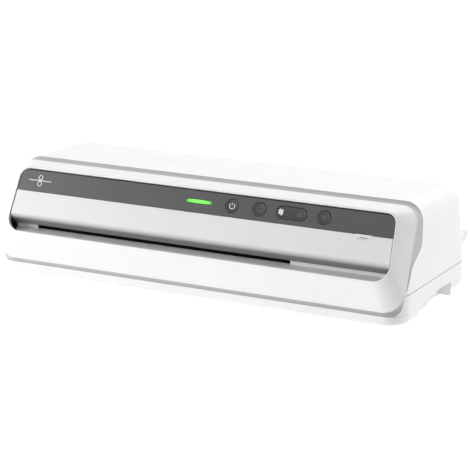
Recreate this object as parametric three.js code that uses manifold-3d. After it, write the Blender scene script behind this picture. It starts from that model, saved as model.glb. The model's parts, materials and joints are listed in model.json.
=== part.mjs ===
// Pouch laminator for A3 pouches. Millimetres, +Z up, front towards -Y.
// The origin is on the ground, at the centre of the footprint.
import * as THREE from 'three';
import { mergeVertices } from 'three/addons/utils/BufferGeometryUtils.js';
import Module from 'manifold-3d';

const wasm = await Module();
wasm.setup();

// ---------------------------------------------------------------- driving dimensions
const gap = 0.3;                 // clearance between neighbouring pieces
const reach = 300;               // longer than any cut needs to be
const arcSteps = 6;              // segments in a rounded corner
const sideSteps = 12;            // segments down each side of the trim band

const body = {
  halfWidth: 255, topHalfWidth: 251,
  front: -98.1, rear: 81.9, rearTop: 73.9,
  bottom: 0.4, seam: 33, top: 122.9, topFall: 3,
  wall: 2.6, floorTop: 9, panBottom: 6.5,
  frontCorner: 22, rearCorner: 12,
  sideEdge: 20, rearEdge: 9, bottomSideEdge: 8, bottomRearEdge: 14, bottomFrontEdge: 4,
};
const skirt = { side: 10, front: 8, rear: 16 };  // widths of the rim that stands below the floor pan
// front edge of the housing, seen from the side: two leaning lines joined by an S-curve
const frontEdge = {
  topY: -36.2, topSlope: 0.13, seamY: -85.6, seamSlope: 0.55,
  curveTop: 82, curveBottom: 58, turn: 31, lip: 11,
};
const edgeFoot = 36.5;           // height at which the band starts to follow the lower corners

// sloping face: a plane through the window's top edge, leaning back
const face = { y: -70.1, z: 116.5, lean: THREE.MathUtils.degToRad(26.1) };
const windowFrame = { topHalf: 235, bottomHalf: 239.5, height: 74.2, topRadius: 12, bottomRadius: 17 };
const bezel = {
  depth: 20, rim: 1.5, wall: 2.5, innerWall: 2.2, innerDepth: 4,
  topHalf: 250.9, bottomHalf: 255.35, above: 14.2, below: 29, topRadius: 20, bottomRadius: 24,
};
const band = { skin: 0.35, proud: 1, lap: 3, tongue: 4.5, wall: 2, root: 3.2, flange: 1.4, cove: 0.45, clear: 0.55 };
const panel = { height: 26.2, recess: 1.2, thickness: 2.6, topGap: 1.6, sideGap: 1.1 };
const carrier = { front: 4.6, thickness: 1.6, arm: 8, armEnd: 51 };
const button = { centre: -13.4, radius: 7.8, travel: 0.9, proud: 0, length: 6.4 };
const roundButtons = { power_button: 41.6, reverse_button: 75.2, auto_button: 153.2 };
const modeButton = { x: 114, length: 37, height: 14.4 };
const lens = { x: 0.5, length: 31, height: 3.6, proud: 0.1, depth: 4 };
const hood = {
  recess: 0.8, thickness: 2.4, flatEnd: 52.5, bend: 7, tip: 62.7, tipDepth: 13.9, tipDrop: 0.1,
  back: -61.8, backRise: 1.2, lip: 2.2, sideGap: 1,
};
const tab = { x: 202.4, topWidth: 20, bottomWidth: 12, height: 5, thickness: 2 };

const slot = { left: -208, right: 116 };
const shelf = { top: 48.9, thickness: 2.2, front: -104, back: -79.6, riser: 2, riserTop: 53.8 };
const guide = { back: -60.3, backTop: 51, thickness: 2 };

// pouch path: a plane rising towards the back through three pairs of rollers
const path = { y: -50.1, z: 53.3, rise: THREE.MathUtils.degToRad(5.5) };
const gearModule = 18.4 / 12;
const teeth = { roller: 12, idler: 16, pinion: 10 };
const pairSpacing = gearModule * (teeth.roller + teeth.idler);
const roller = { radius: 9, offset: gearModule * teeth.roller / 2, left: -212, right: 120, shaft: 3 };
const frames = { left: -222, right: 128, thickness: 2, bottom: 9.5, top: 104, front: -60.3, rear: 56.4 };
const gears = { left: 134, width: 8, plate: 145, plateTop: 66, plateRear: 46.4 };
const motor = { radius: 17, length: 40 };
const exit = { left: -214, right: 122, bottom: 61, top: 69 };
const tray = { halfWidth: 249, top: 60.4, bottom: 50.5, rear: 103.4, wall: 2.4, belly: 4, nose: 3, slant: 1.5 };
const heater = { half: 15, reach: 9, wrap: 0.55, clear: 1.5, overhang: 2 };
const spring = { width: 3, thickness: 1.2, seat: 13.2, arch: 17, end: 20, tail: 12 };
const flag = { x: -190, above: 7.5, barrel: 2.2, halfLength: 5, tongue: 8.4, halfWidth: 2 };
const tieBar = { radius: 4, pin: 2.2, above: 24 };
const controlBoard = { left: -30, right: 190, low: -24, high: -3, thickness: 1.6 };
const powerBoard = { left: 155, right: 235, front: -25, rear: 55, bottom: 62, top: 63.6 };

const grip = {
  front: -50, rear: 41, wall: 2, radius: 8,
  top: 17, frontTop: 14, shallow: 7, deepFrom: -4, deep: 13,
};
const inlet = {
  x: 196, z: 21, width: 27, height: 19, depth: 18, hole: 8, wall: 2, flange: 2.2, sideLap: 2.5, topLap: 1.2,
  pin: 1, pinEnd: 3, pinPlaces: [[-7, -2], [0, 2], [7, -2]],
};
const rocker = {
  x: 150, z: 21, width: 19, height: 13, depth: 12, hole: 8, wall: 1.6, flange: 1.8, lap: 1.6,
  play: 0.4, pivotDepth: 3.2, root: 2.5, proud: 4.6, dish: 0.9,
};
const foot = { x: 222, front: -78, rear: 50, radius: 8 };

// ---------------------------------------------------------------- materials
const material = (color, roughness, metalness = 0) =>
  new THREE.MeshStandardMaterial({ color, roughness, metalness });
const whitePlastic = material(0xf1f1f0, 0.42);
const greyTrim = material(0xb9b9b9, 0.5);
const hoodGrey = material(0xe2e2e2, 0.4);
const panelGrey = material(0x626262, 0.35);
const buttonGrey = material(0x3f3f3f, 0.55);
const blackPlastic = material(0x1a1a1a, 0.6);
const greenLens = material(0x6ee650, 0.3);
const rubber = material(0x2a2a2a, 0.85);
const silicone = material(0xb5482f, 0.7);
const steel = material(0xb6b8ba, 0.35, 1);
const aluminium = material(0xc4c6c8, 0.4, 1);
const gearNylon = material(0xe9e6da, 0.5);
const boardGreen = material(0x1f6b3a, 0.5);

// ---------------------------------------------------------------- solids
function solid(geometry) {
  const bare = geometry.clone();
  bare.deleteAttribute('normal');
  bare.deleteAttribute('uv');
  const merged = mergeVertices(bare, 1e-4);
  const vertProperties = new Float32Array(merged.attributes.position.array);
  const triVerts = new Uint32Array(merged.index.array);
  return new wasm.Manifold(new wasm.Mesh({ numProp: 3, vertProperties, triVerts }));
}

function surface(manifold) {
  const mesh = manifold.getMesh();
  const geometry = new THREE.BufferGeometry();
  geometry.setAttribute('position', new THREE.Float32BufferAttribute(mesh.vertProperties, 3));
  geometry.setIndex(new THREE.Uint32BufferAttribute(mesh.triVerts, 1));
  return geometry;
}

const cut = (first, ...others) => others.reduce((whole, other) => whole.subtract(other), first);
const join = (first, ...others) => others.reduce((whole, other) => whole.add(other), first);

function block(x0, x1, y0, y1, z0, z1) {
  const geometry = new THREE.BoxGeometry(x1 - x0, y1 - y0, z1 - z0);
  return geometry.translate((x0 + x1) / 2, (y0 + y1) / 2, (z0 + z1) / 2);
}

// A side profile, points in (y, z), carried along X
function alongX(profile, x0, x1) {
  const shape = profile instanceof THREE.Shape ? profile : new THREE.Shape(profile);
  const geometry = new THREE.ExtrudeGeometry(shape, { depth: x1 - x0, bevelEnabled: false, curveSegments: 12 });
  const turn = new THREE.Matrix4().makeBasis(
    new THREE.Vector3(0, 1, 0), new THREE.Vector3(0, 0, 1), new THREE.Vector3(1, 0, 0));
  return geometry.applyMatrix4(turn).translate(x0, 0, 0);
}

function rod(x0, x1, y, z, radius, sides = 20) {
  const geometry = new THREE.CylinderGeometry(radius, radius, x1 - x0, sides);
  return geometry.rotateZ(Math.PI / 2).translate((x0 + x1) / 2, y, z);
}

const point = (x, y) => new THREE.Vector2(x, y);

// Polygon with rounded corners, each corner {x, y, r}, counterclockwise
function roundedPolygon(corners, steps = arcSteps) {
  const points = [];
  corners.forEach((corner, index) => {
    const before = corners[(index + corners.length - 1) % corners.length];
    const after = corners[(index + 1) % corners.length];
    const here = point(corner.x, corner.y);
    const back = point(before.x, before.y).sub(here).normalize();
    const ahead = point(after.x, after.y).sub(here).normalize();
    const half = Math.acos(back.dot(ahead)) / 2;
    const inwards = back.clone().add(ahead).normalize();
    const centre = here.clone().addScaledVector(inwards, corner.r / Math.sin(half));
    const start = here.clone().add(back.multiplyScalar(corner.r / Math.tan(half))).sub(centre);
    const sweep = Math.PI - 2 * half;
    for (let step = 0; step <= steps; step++) {
      points.push(start.clone().rotateAround(point(0, 0), sweep * step / steps).add(centre));
    }
  });
  return points;
}

// Closed skin through rings of equal length, the first ring lowest or furthest back;
// a looped skin joins the last ring to the first, which leaves a frame open in the middle
function loft(rings, looped = false) {
  const count = rings[0].length;
  const positions = rings.flat().flatMap((p) => [p.x, p.y, p.z]);
  const index = [];
  for (let ring = 0; ring < rings.length - (looped ? 0 : 1); ring++) {
    const next = (ring + 1) % rings.length * count;
    for (let i = 0; i < count; i++) {
      const j = (i + 1) % count;
      index.push(ring * count + i, ring * count + j, next + j, ring * count + i, next + j, next + i);
    }
  }
  const last = (rings.length - 1) * count;
  for (let i = 1; i + 1 < count && !looped; i++) {
    index.push(0, i + 1, i, last, last + i, last + i + 1);
  }
  const geometry = new THREE.BufferGeometry();
  geometry.setAttribute('position', new THREE.Float32BufferAttribute(positions, 3));
  geometry.setIndex(index);
  return geometry;
}

// ---------------------------------------------------------------- sloping face
// Face coordinates: x across, v up the face from the window's top edge, w out of the face
const faceMatrix = new THREE.Matrix4().makeRotationX(Math.PI / 2 - face.lean).setPosition(0, face.y, face.z);
const onFace = (geometry) => geometry.applyMatrix4(faceMatrix);

function facePrism(outline, w0, w1, holes = []) {
  const shape = new THREE.Shape(outline);
  holes.forEach((hole) => shape.holes.push(new THREE.Path(hole)));
  const geometry = new THREE.ExtrudeGeometry(shape, { depth: w1 - w0, bevelEnabled: false });
  return onFace(geometry.translate(0, 0, w0));
}

function trapezoid(topHalf, bottomHalf, top, bottom, topRadius, bottomRadius, steps = arcSteps) {
  return roundedPolygon([
    { x: topHalf, y: top, r: topRadius }, { x: -topHalf, y: top, r: topRadius },
    { x: -bottomHalf, y: bottom, r: bottomRadius }, { x: bottomHalf, y: bottom, r: bottomRadius },
  ], steps);
}

function windowOutline(outset) {
  const w = windowFrame;
  return trapezoid(w.topHalf + outset, w.bottomHalf + outset, outset, -w.height - outset,
    w.topRadius + outset, w.bottomRadius + outset);
}

function bezelOutline(inset) {
  return trapezoid(bezel.topHalf - inset, bezel.bottomHalf - inset, bezel.above - inset,
    -windowFrame.height - bezel.below + inset, bezel.topRadius - inset, bezel.bottomRadius - inset);
}

const circle = (x, y, radius, steps = 24) => Array.from({ length: steps }, (_, i) =>
  point(radius, 0).rotateAround(point(0, 0), 2 * Math.PI * i / steps).add(point(x, y)));

const pill = (x, y, length, height, grow = 0) => roundedPolygon([
  { x: x + length / 2 + grow, y: y + height / 2 + grow, r: height / 2 + grow - 0.01 },
  { x: x - length / 2 - grow, y: y + height / 2 + grow, r: height / 2 + grow - 0.01 },
  { x: x - length / 2 - grow, y: y - height / 2 - grow, r: height / 2 + grow - 0.01 },
  { x: x + length / 2 + grow, y: y - height / 2 - grow, r: height / 2 + grow - 0.01 },
]);

const ringAt = (outline, w) => outline.map((p) => new THREE.Vector3(p.x, p.y, w));

function makeBezel() {
  const outside = solid(onFace(loft([
    ringAt(bezelOutline(0), -bezel.depth), ringAt(windowOutline(bezel.rim), 0),
  ])));
  const opening = solid(facePrism(windowOutline(0), -reach / 3, reach / 3));
  const hollow = solid(onFace(loft([
    ringAt(bezelOutline(bezel.wall), -bezel.depth - 1), ringAt(windowOutline(0.5), -bezel.wall),
  ])));
  const innerWall = solid(facePrism(windowOutline(bezel.innerWall), -bezel.innerDepth, bezel.depth));
  return cut(outside, cut(hollow, innerWall), opening);
}

// ---------------------------------------------------------------- housing
const roundOver = (radius, height) => radius - Math.sqrt(Math.max(radius * radius - height * height, 0));

const leanedAt = (z) => Math.max(z - body.seam, 0) / (body.top - body.seam);
const crowned = (z, wall, radius) => roundOver(radius - wall, Math.max(z - (body.top - radius), 0));
const eased = (z, wall, radius) => roundOver(radius, Math.max(body.bottom + wall + radius - z, 0));

// Half width of the housing at height z, offset inwards by wall
function halfWidthAt(z, wall) {
  return THREE.MathUtils.lerp(body.halfWidth, body.topHalfWidth, leanedAt(z)) - wall
    - crowned(z, wall, body.sideEdge) - eased(z, wall, body.bottomSideEdge - wall);
}

// Plan outline of the housing at height z, offset inwards by wall
function housingRing(z, wall) {
  const leaned = leanedAt(z);
  const side = halfWidthAt(z, wall);
  const rear = THREE.MathUtils.lerp(body.rear, body.rearTop, leaned) - wall
    - crowned(z, wall, body.rearEdge) - eased(z, wall, body.bottomRearEdge - wall);
  const front = body.front + wall + eased(z, wall, Math.max(body.bottomFrontEdge - wall, 0.5));
  const frontCorner = body.frontCorner - wall;
  const rearCorner = Math.max(body.rearCorner - wall - crowned(z, wall, body.rearEdge), 6);
  const outline = roundedPolygon([
    { x: side, y: rear, r: rearCorner }, { x: -side, y: rear, r: rearCorner },
    { x: -side, y: front, r: frontCorner }, { x: side, y: front, r: frontCorner },
  ]);
  const fall = (y) => body.topFall * leaned * (y - frontEdge.topY) / (body.rearTop - frontEdge.topY);
  return outline.map((p) => new THREE.Vector3(p.x, p.y, z - fall(p.y)));
}

function housingBlock(wall, floor) {
  const top = body.top - wall;
  const edge = body.sideEdge - wall;
  const heights = [floor];
  [0.6, 1.8, 4, 7, 11, 15.5].forEach((rise) => {
    if (body.bottom + wall + rise > floor + 0.5) heights.push(body.bottom + wall + rise);
  });
  heights.push(body.seam);
  for (let step = 0; step < 8; step++) heights.push(top - edge + edge * Math.sin(step * Math.PI / 16));
  heights.push(top);
  return solid(loft(heights.map((z) => housingRing(z, wall))));
}

// Everything in front of the housing's front edge, as a side profile
function frontCut() {
  const profile = [point(-reach, frontEdge.lip), point(body.front, frontEdge.lip)];
  for (let step = 1; step <= 2 * arcSteps; step++) profile.push(turnedEdge(1 - step / 2 / arcSteps));
  const rise = frontEdge.curveTop - frontEdge.curveBottom;
  for (let step = 0; step <= 8; step++) {
    const z = frontEdge.curveBottom + rise * step / 8;
    profile.push(point(edgeY(z), z));
  }
  profile.push(point(edgeY(body.top + 5), body.top + 5), point(-reach, body.top + 5));
  return solid(alongX(profile, -reach, reach));
}

// Quarter ellipse that turns the front edge forwards into the lip, share 0 at its top, 1 at the lip
function turnedEdge(share) {
  const angle = share * Math.PI / 2;
  return point(body.front + (edgeY(frontEdge.turn) - body.front) * Math.cos(angle),
    frontEdge.turn - (frontEdge.turn - frontEdge.lip) * Math.sin(angle));
}

function edgeY(z) {
  const upper = frontEdge.topY - frontEdge.topSlope * (body.top - z);
  const lower = frontEdge.seamY + frontEdge.seamSlope * (z - body.seam);
  const share = THREE.MathUtils.smoothstep(z, frontEdge.curveBottom, frontEdge.curveTop);
  return THREE.MathUtils.lerp(lower, upper, share);
}

function gripOutline(grow, front, frontTop) {
  const r = grip.radius + grow;
  const rear = grip.rear + grow;
  return roundedPolygon([
    { x: rear, y: grip.top + grow, r }, { x: front - grow, y: frontTop + grow, r },
    { x: front - grow, y: -10, r: 1 }, { x: rear, y: -10, r: 1 },
  ], 4);
}

// Hand grip in one end: a shallow arch with a deeper pocket at its rear half
function gripCut(side, grow) {
  const from = (depth) => body.halfWidth - depth - grow;
  const shallow = alongX(gripOutline(grow, grip.front, grip.frontTop), from(grip.shallow), reach);
  const deep = alongX(gripOutline(grow, grip.deepFrom, grip.top), from(grip.deep), reach);
  const whole = solid(shallow).add(solid(deep));
  return side > 0 ? whole : whole.mirror([1, 0, 0]);
}

function rearCut(place, grow) {
  const [w, h] = [place.width / 2 + grow, place.height / 2 + grow];
  return solid(block(place.x - w, place.x + w, body.rear - place.hole, body.rear + 5, place.z - h, place.z + h));
}

function makeHousings() {
  const outside = housingBlock(0, body.bottom);
  const cavity = housingBlock(body.wall, body.floorTop);
  const shell = outside.subtract(cavity).subtract(frontCut());
  const upper = solid(block(-reach, reach, -reach, reach, body.seam + gap / 2, reach));
  const lower = solid(block(-reach, reach, -reach, reach, -reach, body.seam - gap / 2));
  const exitHole = solid(block(exit.left, exit.right, frames.rear, tray.rear, exit.bottom, exit.top));
  const rearHousing = shell.intersect(upper).subtract(exitHole);

  let base = shell.intersect(lower);
  base = base.subtract(solid(block(-body.halfWidth + skirt.side, body.halfWidth - skirt.side,
    body.front + skirt.front, body.rear - skirt.rear, -reach, body.panBottom)));
  const gripRoom = outside.intersect(solid(block(-reach, reach, -reach, reach,
    body.panBottom, grip.top + grip.wall)));
  for (const side of [-1, 1]) {
    base = base.add(gripCut(side, grip.wall).intersect(gripRoom)).subtract(gripCut(side, 0));
  }
  base = cut(base, rearCut(inlet, gap), rearCut(rocker, gap));
  return { rearHousing, base };
}

// Place on the housing's skin at a height and depth, inset, round the front corner where it starts
function onRim({ x: y, y: z }, inset) {
  const corner = body.frontCorner - inset;
  const over = THREE.MathUtils.clamp(body.front + inset + corner - y, 0, corner);
  const x = halfWidthAt(z, inset) - corner + Math.sqrt(corner ** 2 - over ** 2);
  return new THREE.Vector3(x, Math.max(y, body.front + inset), z);
}

// Front edge of the housing all the way round, inset, from the lower right corner upwards
function edgeLoop(inset) {
  const right = [];
  const shoulder = body.top - body.sideEdge;
  for (let step = 0; step <= arcSteps; step++) {
    const z = shoulder + (body.sideEdge - inset) * Math.cos(step * Math.PI / 2 / arcSteps);
    right.push(onRim(point(edgeY(z), z), inset));
  }
  for (let step = 1; step <= sideSteps; step++) {
    const z = THREE.MathUtils.lerp(shoulder, edgeFoot, step / (sideSteps + 1));
    right.push(onRim(point(edgeY(z), z), inset));
  }
  const end = Math.acos(inset / (edgeY(frontEdge.turn) - body.front)) * 2 / Math.PI;
  const foot = [point(edgeY(edgeFoot), edgeFoot)];
  for (let step = 0; step <= 4 * arcSteps; step++) foot.push(turnedEdge(end * step / 4 / arcSteps));
  const bent = foot.map((place) => onRim(place, inset));
  const path = new THREE.CurvePath();
  bent.slice(1).forEach((place, index) => path.add(new THREE.LineCurve3(bent[index], place)));
  for (let step = 0; step <= arcSteps; step++) right.push(path.getPointAt(step / arcSteps));
  const left = right.map((p) => new THREE.Vector3(-p.x, p.y, p.z));
  return [...right.reverse(), ...left];
}

// Outline of the bezel at depth w, with points that pair with those of edgeLoop
function bezelLoop(inset, w) {
  const corners = bezelOutline(inset);
  const topRight = corners.slice(0, arcSteps + 1);
  const lowRight = corners.slice(3 * (arcSteps + 1));
  const straight = Array.from({ length: sideSteps }, (_, i) =>
    lowRight.at(-1).clone().lerp(topRight[0], (i + 1) / (sideSteps + 1)));
  const right = [...lowRight, ...straight, ...topRight];
  const left = right.map((p) => point(-p.x, p.y)).reverse();
  return ringAt([...right, ...left], w).map((p) => p.applyMatrix4(faceMatrix));
}

// Trim band: a cove from the bezel's back edge out over the housing's rim, with a tongue behind the rim
function makeBand() {
  const inward = new THREE.Vector3(0, Math.cos(face.lean), -Math.sin(face.lean));
  const moved = (ring, distance) => ring.map((p) => p.clone().addScaledVector(inward, distance));
  const between = (first, second, share) => first.map((p, i) => {
    const hollow = band.cove * p.distanceTo(second[i]) * share * (1 - share);
    return p.clone().lerp(second[i], share).addScaledVector(inward, hollow);
  });
  const back = -bezel.depth - gap;
  const near = bezelLoop(1, back - gap);
  const far = moved(edgeLoop(band.skin), -band.proud);
  const inside = moved(edgeLoop(band.lap + band.wall), band.tongue);
  const root = bezelLoop(band.root, back - band.wall);
  return solid(loft([
    bezelLoop(band.root, back), bezelLoop(band.flange, back),
    ...[0, 0.1, 0.3, 0.5, 0.7, 0.9, 1].map((share) => between(near, far, share)),
    moved(edgeLoop(band.skin), -band.clear), moved(edgeLoop(band.lap), -band.clear), moved(edgeLoop(band.lap), band.tongue),
    inside, between(inside, root, 0.5), root,
  ].reverse(), true));
}

// ---------------------------------------------------------------- control strip
function panelOutline() {
  const outline = windowOutline(-panel.sideGap);
  const shifted = outline.map((p) => point(p.x, Math.min(p.y, -panel.topGap)));
  return shifted;
}

function buttonHoles(grow) {
  const holes = Object.values(roundButtons).map((x) => circle(x, button.centre, button.radius + grow));
  holes.push(pill(modeButton.x, button.centre, modeButton.length, modeButton.height, grow));
  holes.push(pill(lens.x, button.centre, lens.length, lens.height, grow));
  return holes;
}

function makeControlPanel() {
  const plate = solid(facePrism(panelOutline(), -panel.recess - panel.thickness, -panel.recess));
  const keep = solid(facePrism([point(-reach, -panel.height), point(reach, -panel.height), point(reach, 10),
    point(-reach, 10)], -50, 50));
  const holes = buttonHoles(gap).map((hole) => solid(facePrism(hole, -50, 50)));
  const tabNotch = solid(facePrism(tabOutline(gap), -50, 50));
  return cut(plate.intersect(keep), ...holes, tabNotch);
}

function makeCarrier() {
  const plate = solid(facePrism(windowOutline(-gap), -carrier.front - carrier.thickness, -carrier.front));
  const inner = solid(facePrism([point(-windowFrame.topHalf + carrier.arm, -reach),
    point(windowFrame.topHalf - carrier.arm, -reach), point(windowFrame.topHalf - carrier.arm, -panel.height - 3),
    point(-windowFrame.topHalf + carrier.arm, -panel.height - 3)], -50, 50));
  const below = solid(facePrism([point(-reach, -reach), point(reach, -reach), point(reach, -carrier.armEnd),
    point(-reach, -carrier.armEnd)], -50, 50));
  const holes = buttonHoles(gap).map((hole) => solid(facePrism(hole, -50, 50)));
  const tabHole = solid(facePrism(tabOutline(1), -50, 50));
  return cut(plate, inner, below, tabHole, ...holes);
}

function tabOutline(grow) {
  const top = -panel.height + 0.1 + grow;
  const bottom = -panel.height - tab.height - grow;
  return [point(tab.x - tab.bottomWidth / 2 - grow, bottom), point(tab.x + tab.bottomWidth / 2 + grow, bottom),
    point(tab.x + tab.topWidth / 2 + grow, top), point(tab.x - tab.topWidth / 2 - grow, top)];
}

// ---------------------------------------------------------------- feed slot
// Hood: a flat cover that turns under and runs back above the slot
function hoodProfile() {
  const spread = face.lean;
  const toBody = (v, w) => point(face.y + v * Math.sin(spread) - w * Math.cos(spread),
    face.z + v * Math.cos(spread) + w * Math.sin(spread));
  const bend = (radius, flatEnd, depth, from, to) => Array.from({ length: 7 }, (_, i) => {
    const angle = from + (to - from) * i / 6;
    return toBody(-flatEnd - radius * Math.sin(angle), -depth - radius * (1 - Math.cos(angle)));
  });
  const run = hood.tip - hood.flatEnd;
  const rise = hood.tipDepth - hood.recess - hood.bend;
  const slant = Math.atan2(rise, run) + Math.asin(hood.bend / Math.hypot(rise, run));
  const outer = [toBody(-panel.height - gap, -hood.recess)];
  outer.push(...bend(hood.bend, hood.flatEnd, hood.recess, 0, slant));
  const tip = toBody(-hood.tip, -hood.tipDepth);
  outer.push(tip, point(tip.x + hood.lip, tip.y - hood.tipDrop), point(hood.back, tip.y + hood.backRise));
  const inner = [point(hood.back, tip.y + hood.backRise + hood.lip)];
  inner.push(point(tip.x + 2 * hood.lip, tip.y + hood.thickness));
  const deep = hood.recess + hood.thickness;
  inner.push(...bend(hood.bend - hood.thickness, hood.flatEnd, deep, 0, slant).reverse());
  inner.push(toBody(-panel.height - gap, -deep));
  return [...outer, ...inner];
}

function makeHood() {
  const cover = solid(alongX(hoodProfile(), -reach, reach));
  const sides = solid(facePrism(windowOutline(-hood.sideGap), -100, 50));
  const notch = solid(facePrism(tabOutline(gap), -50, 50));
  return cover.intersect(sides).subtract(notch);
}

function makeShelf() {
  const plate = solid(block(-reach, reach, shelf.front, shelf.back, shelf.top - shelf.thickness, shelf.top));
  const risers = [[-reach, slot.left - gap], [slot.right + gap, reach]].map(([x0, x1]) =>
    solid(block(x0, x1, shelf.back - shelf.riser, shelf.back, shelf.top - shelf.thickness, shelf.riserTop)));
  const inWindow = solid(facePrism(windowOutline(-gap), -100, 50));
  return join(plate, ...risers).intersect(inWindow);
}

function makeGuide() {
  const profile = [point(shelf.back + gap, shelf.top - 0.4), point(shelf.back + gap, shelf.top - 0.4 - guide.thickness),
    point(guide.back, guide.backTop - guide.thickness), point(guide.back, guide.backTop)];
  return alongX(profile.reverse(), slot.left, slot.right);
}

// ---------------------------------------------------------------- pouch path
// A place s along the path from the first rollers, h above it
function onPath(s, h) {
  return point(path.y + s * Math.cos(path.rise) - h * Math.sin(path.rise),
    path.z + s * Math.sin(path.rise) + h * Math.cos(path.rise));
}

// Spur gear outline in (y, z), phase is the angle of one tooth from the path direction
function gearOutline(centre, count, phase) {
  const pitch = gearModule * count / 2;
  const backlash = 0.45;
  const widths = [[-1.15, 0.98], [-0.35, 0.62], [0.3, 0.36], [0.8, 0.17]];
  const halfPitch = (Math.PI * gearModule / 2 - backlash) / 2 / pitch;
  const outline = [];
  for (let tooth = 0; tooth < count; tooth++) {
    const middle = phase + path.rise + 2 * Math.PI * tooth / count;
    const flank = widths.map(([rise, width]) => [pitch + rise * gearModule, width * halfPitch * 2]);
    for (const [radius, angle] of flank) {
      outline.push(point(centre.x + radius * Math.cos(middle - angle), centre.y + radius * Math.sin(middle - angle)));
    }
    for (const [radius, angle] of flank.reverse()) {
      outline.push(point(centre.x + radius * Math.cos(middle + angle), centre.y + radius * Math.sin(middle + angle)));
    }
  }
  return outline;
}

function gearSolid(centre, count, phase, bore) {
  const shape = new THREE.Shape(gearOutline(centre, count, phase));
  if (bore) shape.holes.push(new THREE.Path(circle(centre.x, centre.y, bore, 16)));
  return alongX(shape, gears.left, gears.left + gears.width);
}

function sleeve(x0, x1, centre, radius, bore) {
  const shape = new THREE.Shape(circle(centre.x, centre.y, radius, 28));
  shape.holes.push(new THREE.Path(circle(centre.x, centre.y, bore, 16)));
  return alongX(shape, x0, x1);
}

const stations = ['infeed', 'heated', 'exit'];
const rollers = stations.flatMap((station, index) => [
  { name: `lower_${station}`, centre: onPath(index * pairSpacing, -roller.offset), level: -1 },
  { name: `upper_${station}`, centre: onPath(index * pairSpacing, roller.offset), level: 1 },
]);
const idlers = [0.5, 1.5].map((step) => onPath(step * pairSpacing, -roller.offset));
const pinionCentre = onPath(1.5 * pairSpacing, -roller.offset - gearModule * (teeth.idler + teeth.pinion) / 2);
const tieBars = {
  tie_bar_front: onPath(0.5 * pairSpacing, tieBar.above), tie_bar_rear: onPath(1.5 * pairSpacing, tieBar.above),
};

function frameShape() {
  const shape = new THREE.Shape(roundedPolygon([
    { x: frames.rear, y: frames.top, r: 14 }, { x: frames.front, y: frames.top, r: 14 },
    { x: frames.front, y: frames.bottom, r: 3 }, { x: frames.rear, y: frames.bottom, r: 3 },
  ], 4));
  rollers.forEach(({ centre }) => shape.holes.push(new THREE.Path(circle(centre.x, centre.y, roller.shaft + gap, 16))));
  Object.values(tieBars).forEach((centre) => shape.holes.push(new THREE.Path(circle(centre.x, centre.y, tieBar.pin + gap, 12))));
  return shape;
}

function makeFrame(x0) {
  return alongX(frameShape(), x0, x0 + frames.thickness);
}

// Right frame: the same plate with the two studs that the idler gears turn on
function makeRightFrame() {
  const plate = solid(makeFrame(frames.right));
  const studs = idlers.map((centre) => solid(rod(frames.right + 1, gears.plate - gap, centre.x, centre.y, 3, 16)));
  return join(plate, ...studs);
}

function makeTieBar(centre) {
  const bar = solid(rod(frames.left + frames.thickness + gap, frames.right - gap, centre.x, centre.y, tieBar.radius, 16));
  const ends = solid(rod(frames.left - 1, frames.right + frames.thickness + 1, centre.x, centre.y, tieBar.pin, 12));
  return join(bar, ends);
}

function makeGearPlate() {
  const shape = new THREE.Shape(roundedPolygon([
    { x: gears.plateRear, y: gears.plateTop, r: 6 }, { x: frames.front, y: gears.plateTop, r: 6 },
    { x: frames.front, y: frames.bottom, r: 3 }, { x: gears.plateRear, y: frames.bottom, r: 3 },
  ], 4));
  shape.holes.push(new THREE.Path(circle(pinionCentre.x, pinionCentre.y, 4, 16)));
  rollers.filter((r) => r.level < 0).forEach(({ centre }) =>
    shape.holes.push(new THREE.Path(circle(centre.x, centre.y, roller.shaft + gap, 16))));
  return alongX(shape, gears.plate, gears.plate + 2);
}

function makePinion() {
  const gear = solid(gearSolid(pinionCentre, teeth.pinion, Math.PI / 2 + Math.PI / teeth.pinion, 0));
  const shaft = solid(rod(gears.left - 2, gears.plate + 2, pinionCentre.x, pinionCentre.y, 2.5, 16));
  return gear.add(shaft);
}

function makeMotor() {
  const x0 = gears.plate + 2 + gap;
  const can = solid(rod(x0, x0 + motor.length, pinionCentre.x, pinionCentre.y, motor.radius, 24));
  const boss = solid(rod(x0 + motor.length - 1, x0 + motor.length + 5, pinionCentre.x, pinionCentre.y, 6, 16));
  return can.add(boss);
}

// Heater: a bar with a hollow face that follows the heated roller
function makeHeater(level) {
  const near = roller.offset + roller.radius * heater.wrap;
  const far = roller.offset + roller.radius + heater.reach;
  const { half } = heater;
  const corners = [[-half, near], [half, near], [half, far], [-half, far]]
    .map(([s, h]) => onPath(pairSpacing + s, level * h));
  const profile = level > 0 ? corners : corners.reverse();
  const bar = solid(alongX(profile, slot.left - heater.overhang, slot.right + heater.overhang));
  const centre = onPath(pairSpacing, level * roller.offset);
  return bar.subtract(solid(rod(-reach, reach, centre.x, centre.y, roller.radius + heater.clear, 28)));
}

// Leaf spring over the upper shafts, outside an end frame
function makeLeafSpring(x0) {
  const { seat, arch, end, tail } = spring;
  const bends = [[-tail, end], [0, seat], [0.5 * pairSpacing, arch], [pairSpacing, seat],
    [1.5 * pairSpacing, arch], [2 * pairSpacing, seat], [2 * pairSpacing + tail, end]];
  const lower = bends.map(([s, h]) => onPath(s, h));
  const upper = bends.map(([s, h]) => onPath(s, h + spring.thickness));
  return alongX([...lower, ...upper.reverse()], x0, x0 + spring.width);
}

// Sensor flag: a small lever whose tongue dips into the pouch path
function makeFlag() {
  const { x: y, y: z } = onPath(pairSpacing / 2, flag.above);
  const barrel = solid(rod(flag.x - flag.halfLength, flag.x + flag.halfLength, y, z, flag.barrel, 16));
  const low = z - flag.tongue;
  const tongue = solid(alongX([point(y - 1, z), point(y - 0.4, low), point(y + 0.8, low), point(y + 1, z)],
    flag.x - flag.halfWidth, flag.x + flag.halfWidth));
  return barrel.add(tongue);
}

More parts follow.
